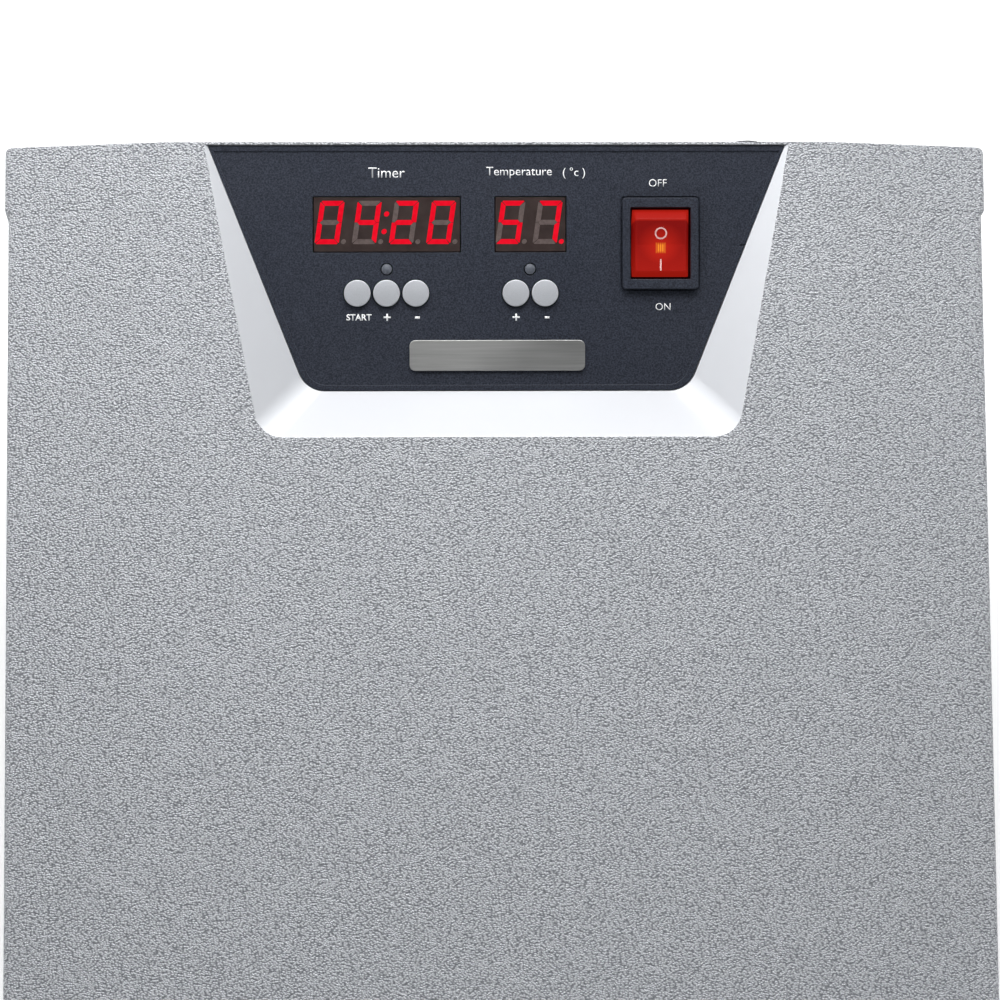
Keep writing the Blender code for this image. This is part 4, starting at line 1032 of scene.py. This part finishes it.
# ---- Hardware -----------------------------------------------------------------------------
def make_screws(paint):
    """Pan-head screws with a cross recess."""
    shank, edge, recess = 0.0014, 0.0006, 0.0012
    long, narrow = 0.0019, 0.00035  # half the length and the width of the recess's arms
    for corner in ("lower_left", "lower_right", "upper_left", "upper_right"):
        low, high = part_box(f"{corner}_screw")
        x, z, radius = (low.x + high.x) / 2, (low.z + high.z) / 2, (high.x - low.x) / 2
        seat, rise = REAR_Y + GAP, high.y - REAR_Y - GAP
        profile = [(shank, low.y), (shank, seat)]
        profile += [(r, seat + h) for r, h in dome(radius, rise - edge, edge)]
        screw = turned("screw", profile, (x, z), "XZ", 40)
        for wide, tall in ((long, narrow), (narrow, long)):
            outline = rectangle((x - wide, z - tall), (x + wide, z + tall))
            cut(screw, prism("recess", outline, high.y - recess, high.y + 0.001, "XZ"))
        smooth(screw, 35)
        place(screw, f"{corner}_pan_screw", paint["steel"], instead_of=f"{corner}_screw")


def make_feet(paint):
    """Turned feet with a rounded sole and a groove around the middle."""
    sole = [(0.0095, 0.0), (0.0105, 0.0002), (0.0112, 0.0008), (0.0115, 0.0016)]
    groove = [(0.0118, 0.0042), (0.0113, 0.0046), (0.0113, 0.0052), (0.0119, 0.0056)]
    for name in ("front_left", "front_right", "rear_left", "rear_right"):
        low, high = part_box(f"{name}_foot")
        centre = ((low.x + high.x) / 2, (low.y + high.y) / 2)
        radius, height = (high.x - low.x) / 2, high.z - low.z
        top = [(radius - 0.0003, height - 0.0012), (radius, height - 0.0005), (radius, height)]
        foot = turned("foot", [(r, low.z + z) for r, z in sole + groove + top], centre)
        smooth(foot, 35)
        place(foot, f"{name}_rubber_foot", paint["rubber"], instead_of=f"{name}_foot")


def make_heater(paint):
    """The ring-shaped tube with its ends led down, finer than the CAD solid."""
    low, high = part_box("heater_element")
    tube, y = (high.y - low.y) / 2, (high.y + low.y) / 2
    radius = (high.x - low.x) / 2 - tube
    centre_z = high.z - tube - radius
    start, sweep, steps = math.radians(-80), math.radians(340), 90
    foot_x, foot_z = radius * math.cos(start), low.z + 0.0002
    path = [(foot_x, y, foot_z)]
    for step in range(steps + 1):
        angle = start + sweep * step / steps
        path.append((radius * math.cos(angle), y, centre_z + radius * math.sin(angle)))
    path.append((-foot_x, y, foot_z))
    curve = bpy.data.curves.new("heater", "CURVE")
    curve.dimensions = "3D"
    curve.bevel_depth = tube
    curve.bevel_resolution = 6
    curve.use_fill_caps = True
    spline = curve.splines.new("POLY")
    spline.points.add(len(path) - 1)
    for point, spot in zip(spline.points, path):
        point.co = (*spot, 1.0)
    ring = add("heater", mesh_of(curve))
    smooth(ring, 60)
    place(ring, "heater_ring", paint["heater"], instead_of="heater_element")


KEPT = {  # the CAD nodes that stay: material and width of their softened edges
    "base_pan": ("frame", 0.0008), "left_side_panel": ("grained", 0.0006),
    "right_side_panel": ("grained", 0.0006), "left_grip_cup": ("black", 0.0004),
    "right_grip_cup": ("black", 0.0004), "front_frame": ("frame", 0.0010),
    "rear_cover": ("black", 0.0004), "door_seal": ("rubber", 0.0007),
    "door_magnet": ("black", 0.0001), "cable_gland": ("black", 0.0004),
    "left_tray_rails": ("liner", 0.0004), "right_tray_rails": ("liner", 0.0004),
    "chamber_floor": ("sheet", 0.0003), "chamber_ceiling": ("sheet", 0.0003),
    "air_baffle": ("sheet", 0.0004), "fan_shroud": ("black", 0.0005),
    "fan_motor": ("steel", 0.0005), "motor_bracket": ("sheet", 0.0003),
    "heater_bracket": ("mica", 0.0002), "thermal_cutoff": ("steel", 0.0002),
    "temperature_sensor": ("steel", 0.0002), "control_board": ("board", 0.0001),
    "power_board": ("board", 0.0003), "lower_hinge_bracket": ("sheet", 0.0004),
    "upper_hinge_bracket": ("sheet", 0.0004), "lower_hinge_pin": ("steel", 0.0003),
    "upper_hinge_pin": ("steel", 0.0003), "door_frame": ("grained", 0.0012),
    "door_window": ("smoked", 0.0003), "door_handle": ("frame", 0.0020),
    "strike_plate": ("steel", 0.0001), "fan_impeller": ("black", 0.0003),
    "fan_shaft": ("steel", 0.0002),
}


def finish_kept(paint):
    for name, (colour, width) in KEPT.items():
        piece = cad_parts[name]
        piece.data.materials.clear()
        piece.data.materials.append(paint[colour])
        soften(piece, width, 3)


# ---- Studio -------------------------------------------------------------------------------
def make_camera():
    """Looks almost straight down from two metres, as the photograph does."""
    turn = Matrix.Identity(4)
    for degrees, axis in ((9.0, "X"), (-1.968, "Y"), (-0.167, "Z")):
        turn = turn @ Matrix.Rotation(math.radians(degrees), 4, axis)
    camera = add("camera", bpy.data.cameras.new("camera"))
    camera.data.sensor_width = 36.0
    camera.data.lens = 184.6
    camera.data.clip_end = 50.0
    camera.matrix_world = Matrix.Translation((-0.0594, -0.1697, 2.0245)) @ turn
    bpy.context.scene.camera = camera


LIGHTS = {  # place, the point it is aimed at, width and height, watts
    "key": ((-0.12, 0.52, 0.60), (0, 0.1, 0.3), (0.8, 0.3), 3.1),
    "second": ((0.10, 0.60, 0.80), (0, 0.1, 0.3), (0.6, 0.3), 2.6),
    "rear": ((0.9, 2.0, 1.1), (0, 0.2, 0.2), (2.0, 1.0), 5.0),
    "front": ((-1.2, -1.9, 1.0), (0, 0, 0.15), (1.6, 1.2), 10.0),
    "side": ((1.9, -0.5, 0.7), (0, 0, 0.15), (1.2, 0.9), 5.0),
}


def make_lights():
    for name, (spot, aim, size, watts) in LIGHTS.items():
        light = bpy.data.lights.new(name, "AREA")
        light.shape = "RECTANGLE"
        light.size, light.size_y = size
        light.energy = watts
        made = add(name, light)
        made.location = spot
        made.rotation_euler = (Vector(aim) - Vector(spot)).to_track_quat("-Z", "Y").to_euler()
        made.visible_camera = False


def make_studio():
    """A pale floor under a sky that gets darker upwards."""
    half = 6.0
    floor = prism("floor", rectangle((-half, -half), (half, half)), -0.01, 0.0)
    floor.data.materials.append(material(
        "pale_floor", (0.92, 0.92, 0.92), 0.7, Emission_Color=(1, 1, 1, 1), Emission_Strength=0.45,
    ))
    world = bpy.data.worlds.new("studio")
    world.use_nodes = True
    sky = node(world, "ShaderNodeTexCoord").outputs["Generated"]
    upward = node(world, "ShaderNodeSeparateXYZ", {"Vector": sky}).outputs["Z"]
    strength = remap(world, upward, 0.0, 0.75, 0.85, 0.16)
    backdrop = world.node_tree.nodes["Background"]
    world.node_tree.links.new(strength, backdrop.inputs["Strength"])
    backdrop.inputs["Color"].default_value = (0.94, 0.97, 1.0, 1.0)
    bpy.context.scene.world = world
    bpy.context.scene.view_settings.view_transform = "Standard"
    make_lights()
    make_camera()


def main():
    paint = make_paints()
    make_studio()
    make_cover(paint)
    make_fascia(paint)
    make_displays(paint)
    make_buttons(paint)
    make_rocker(paint)
    make_legends(paint)
    make_trays(paint)
    make_screws(paint)
    make_feet(paint)
    make_heater(paint)
    finish_kept(paint)


main()
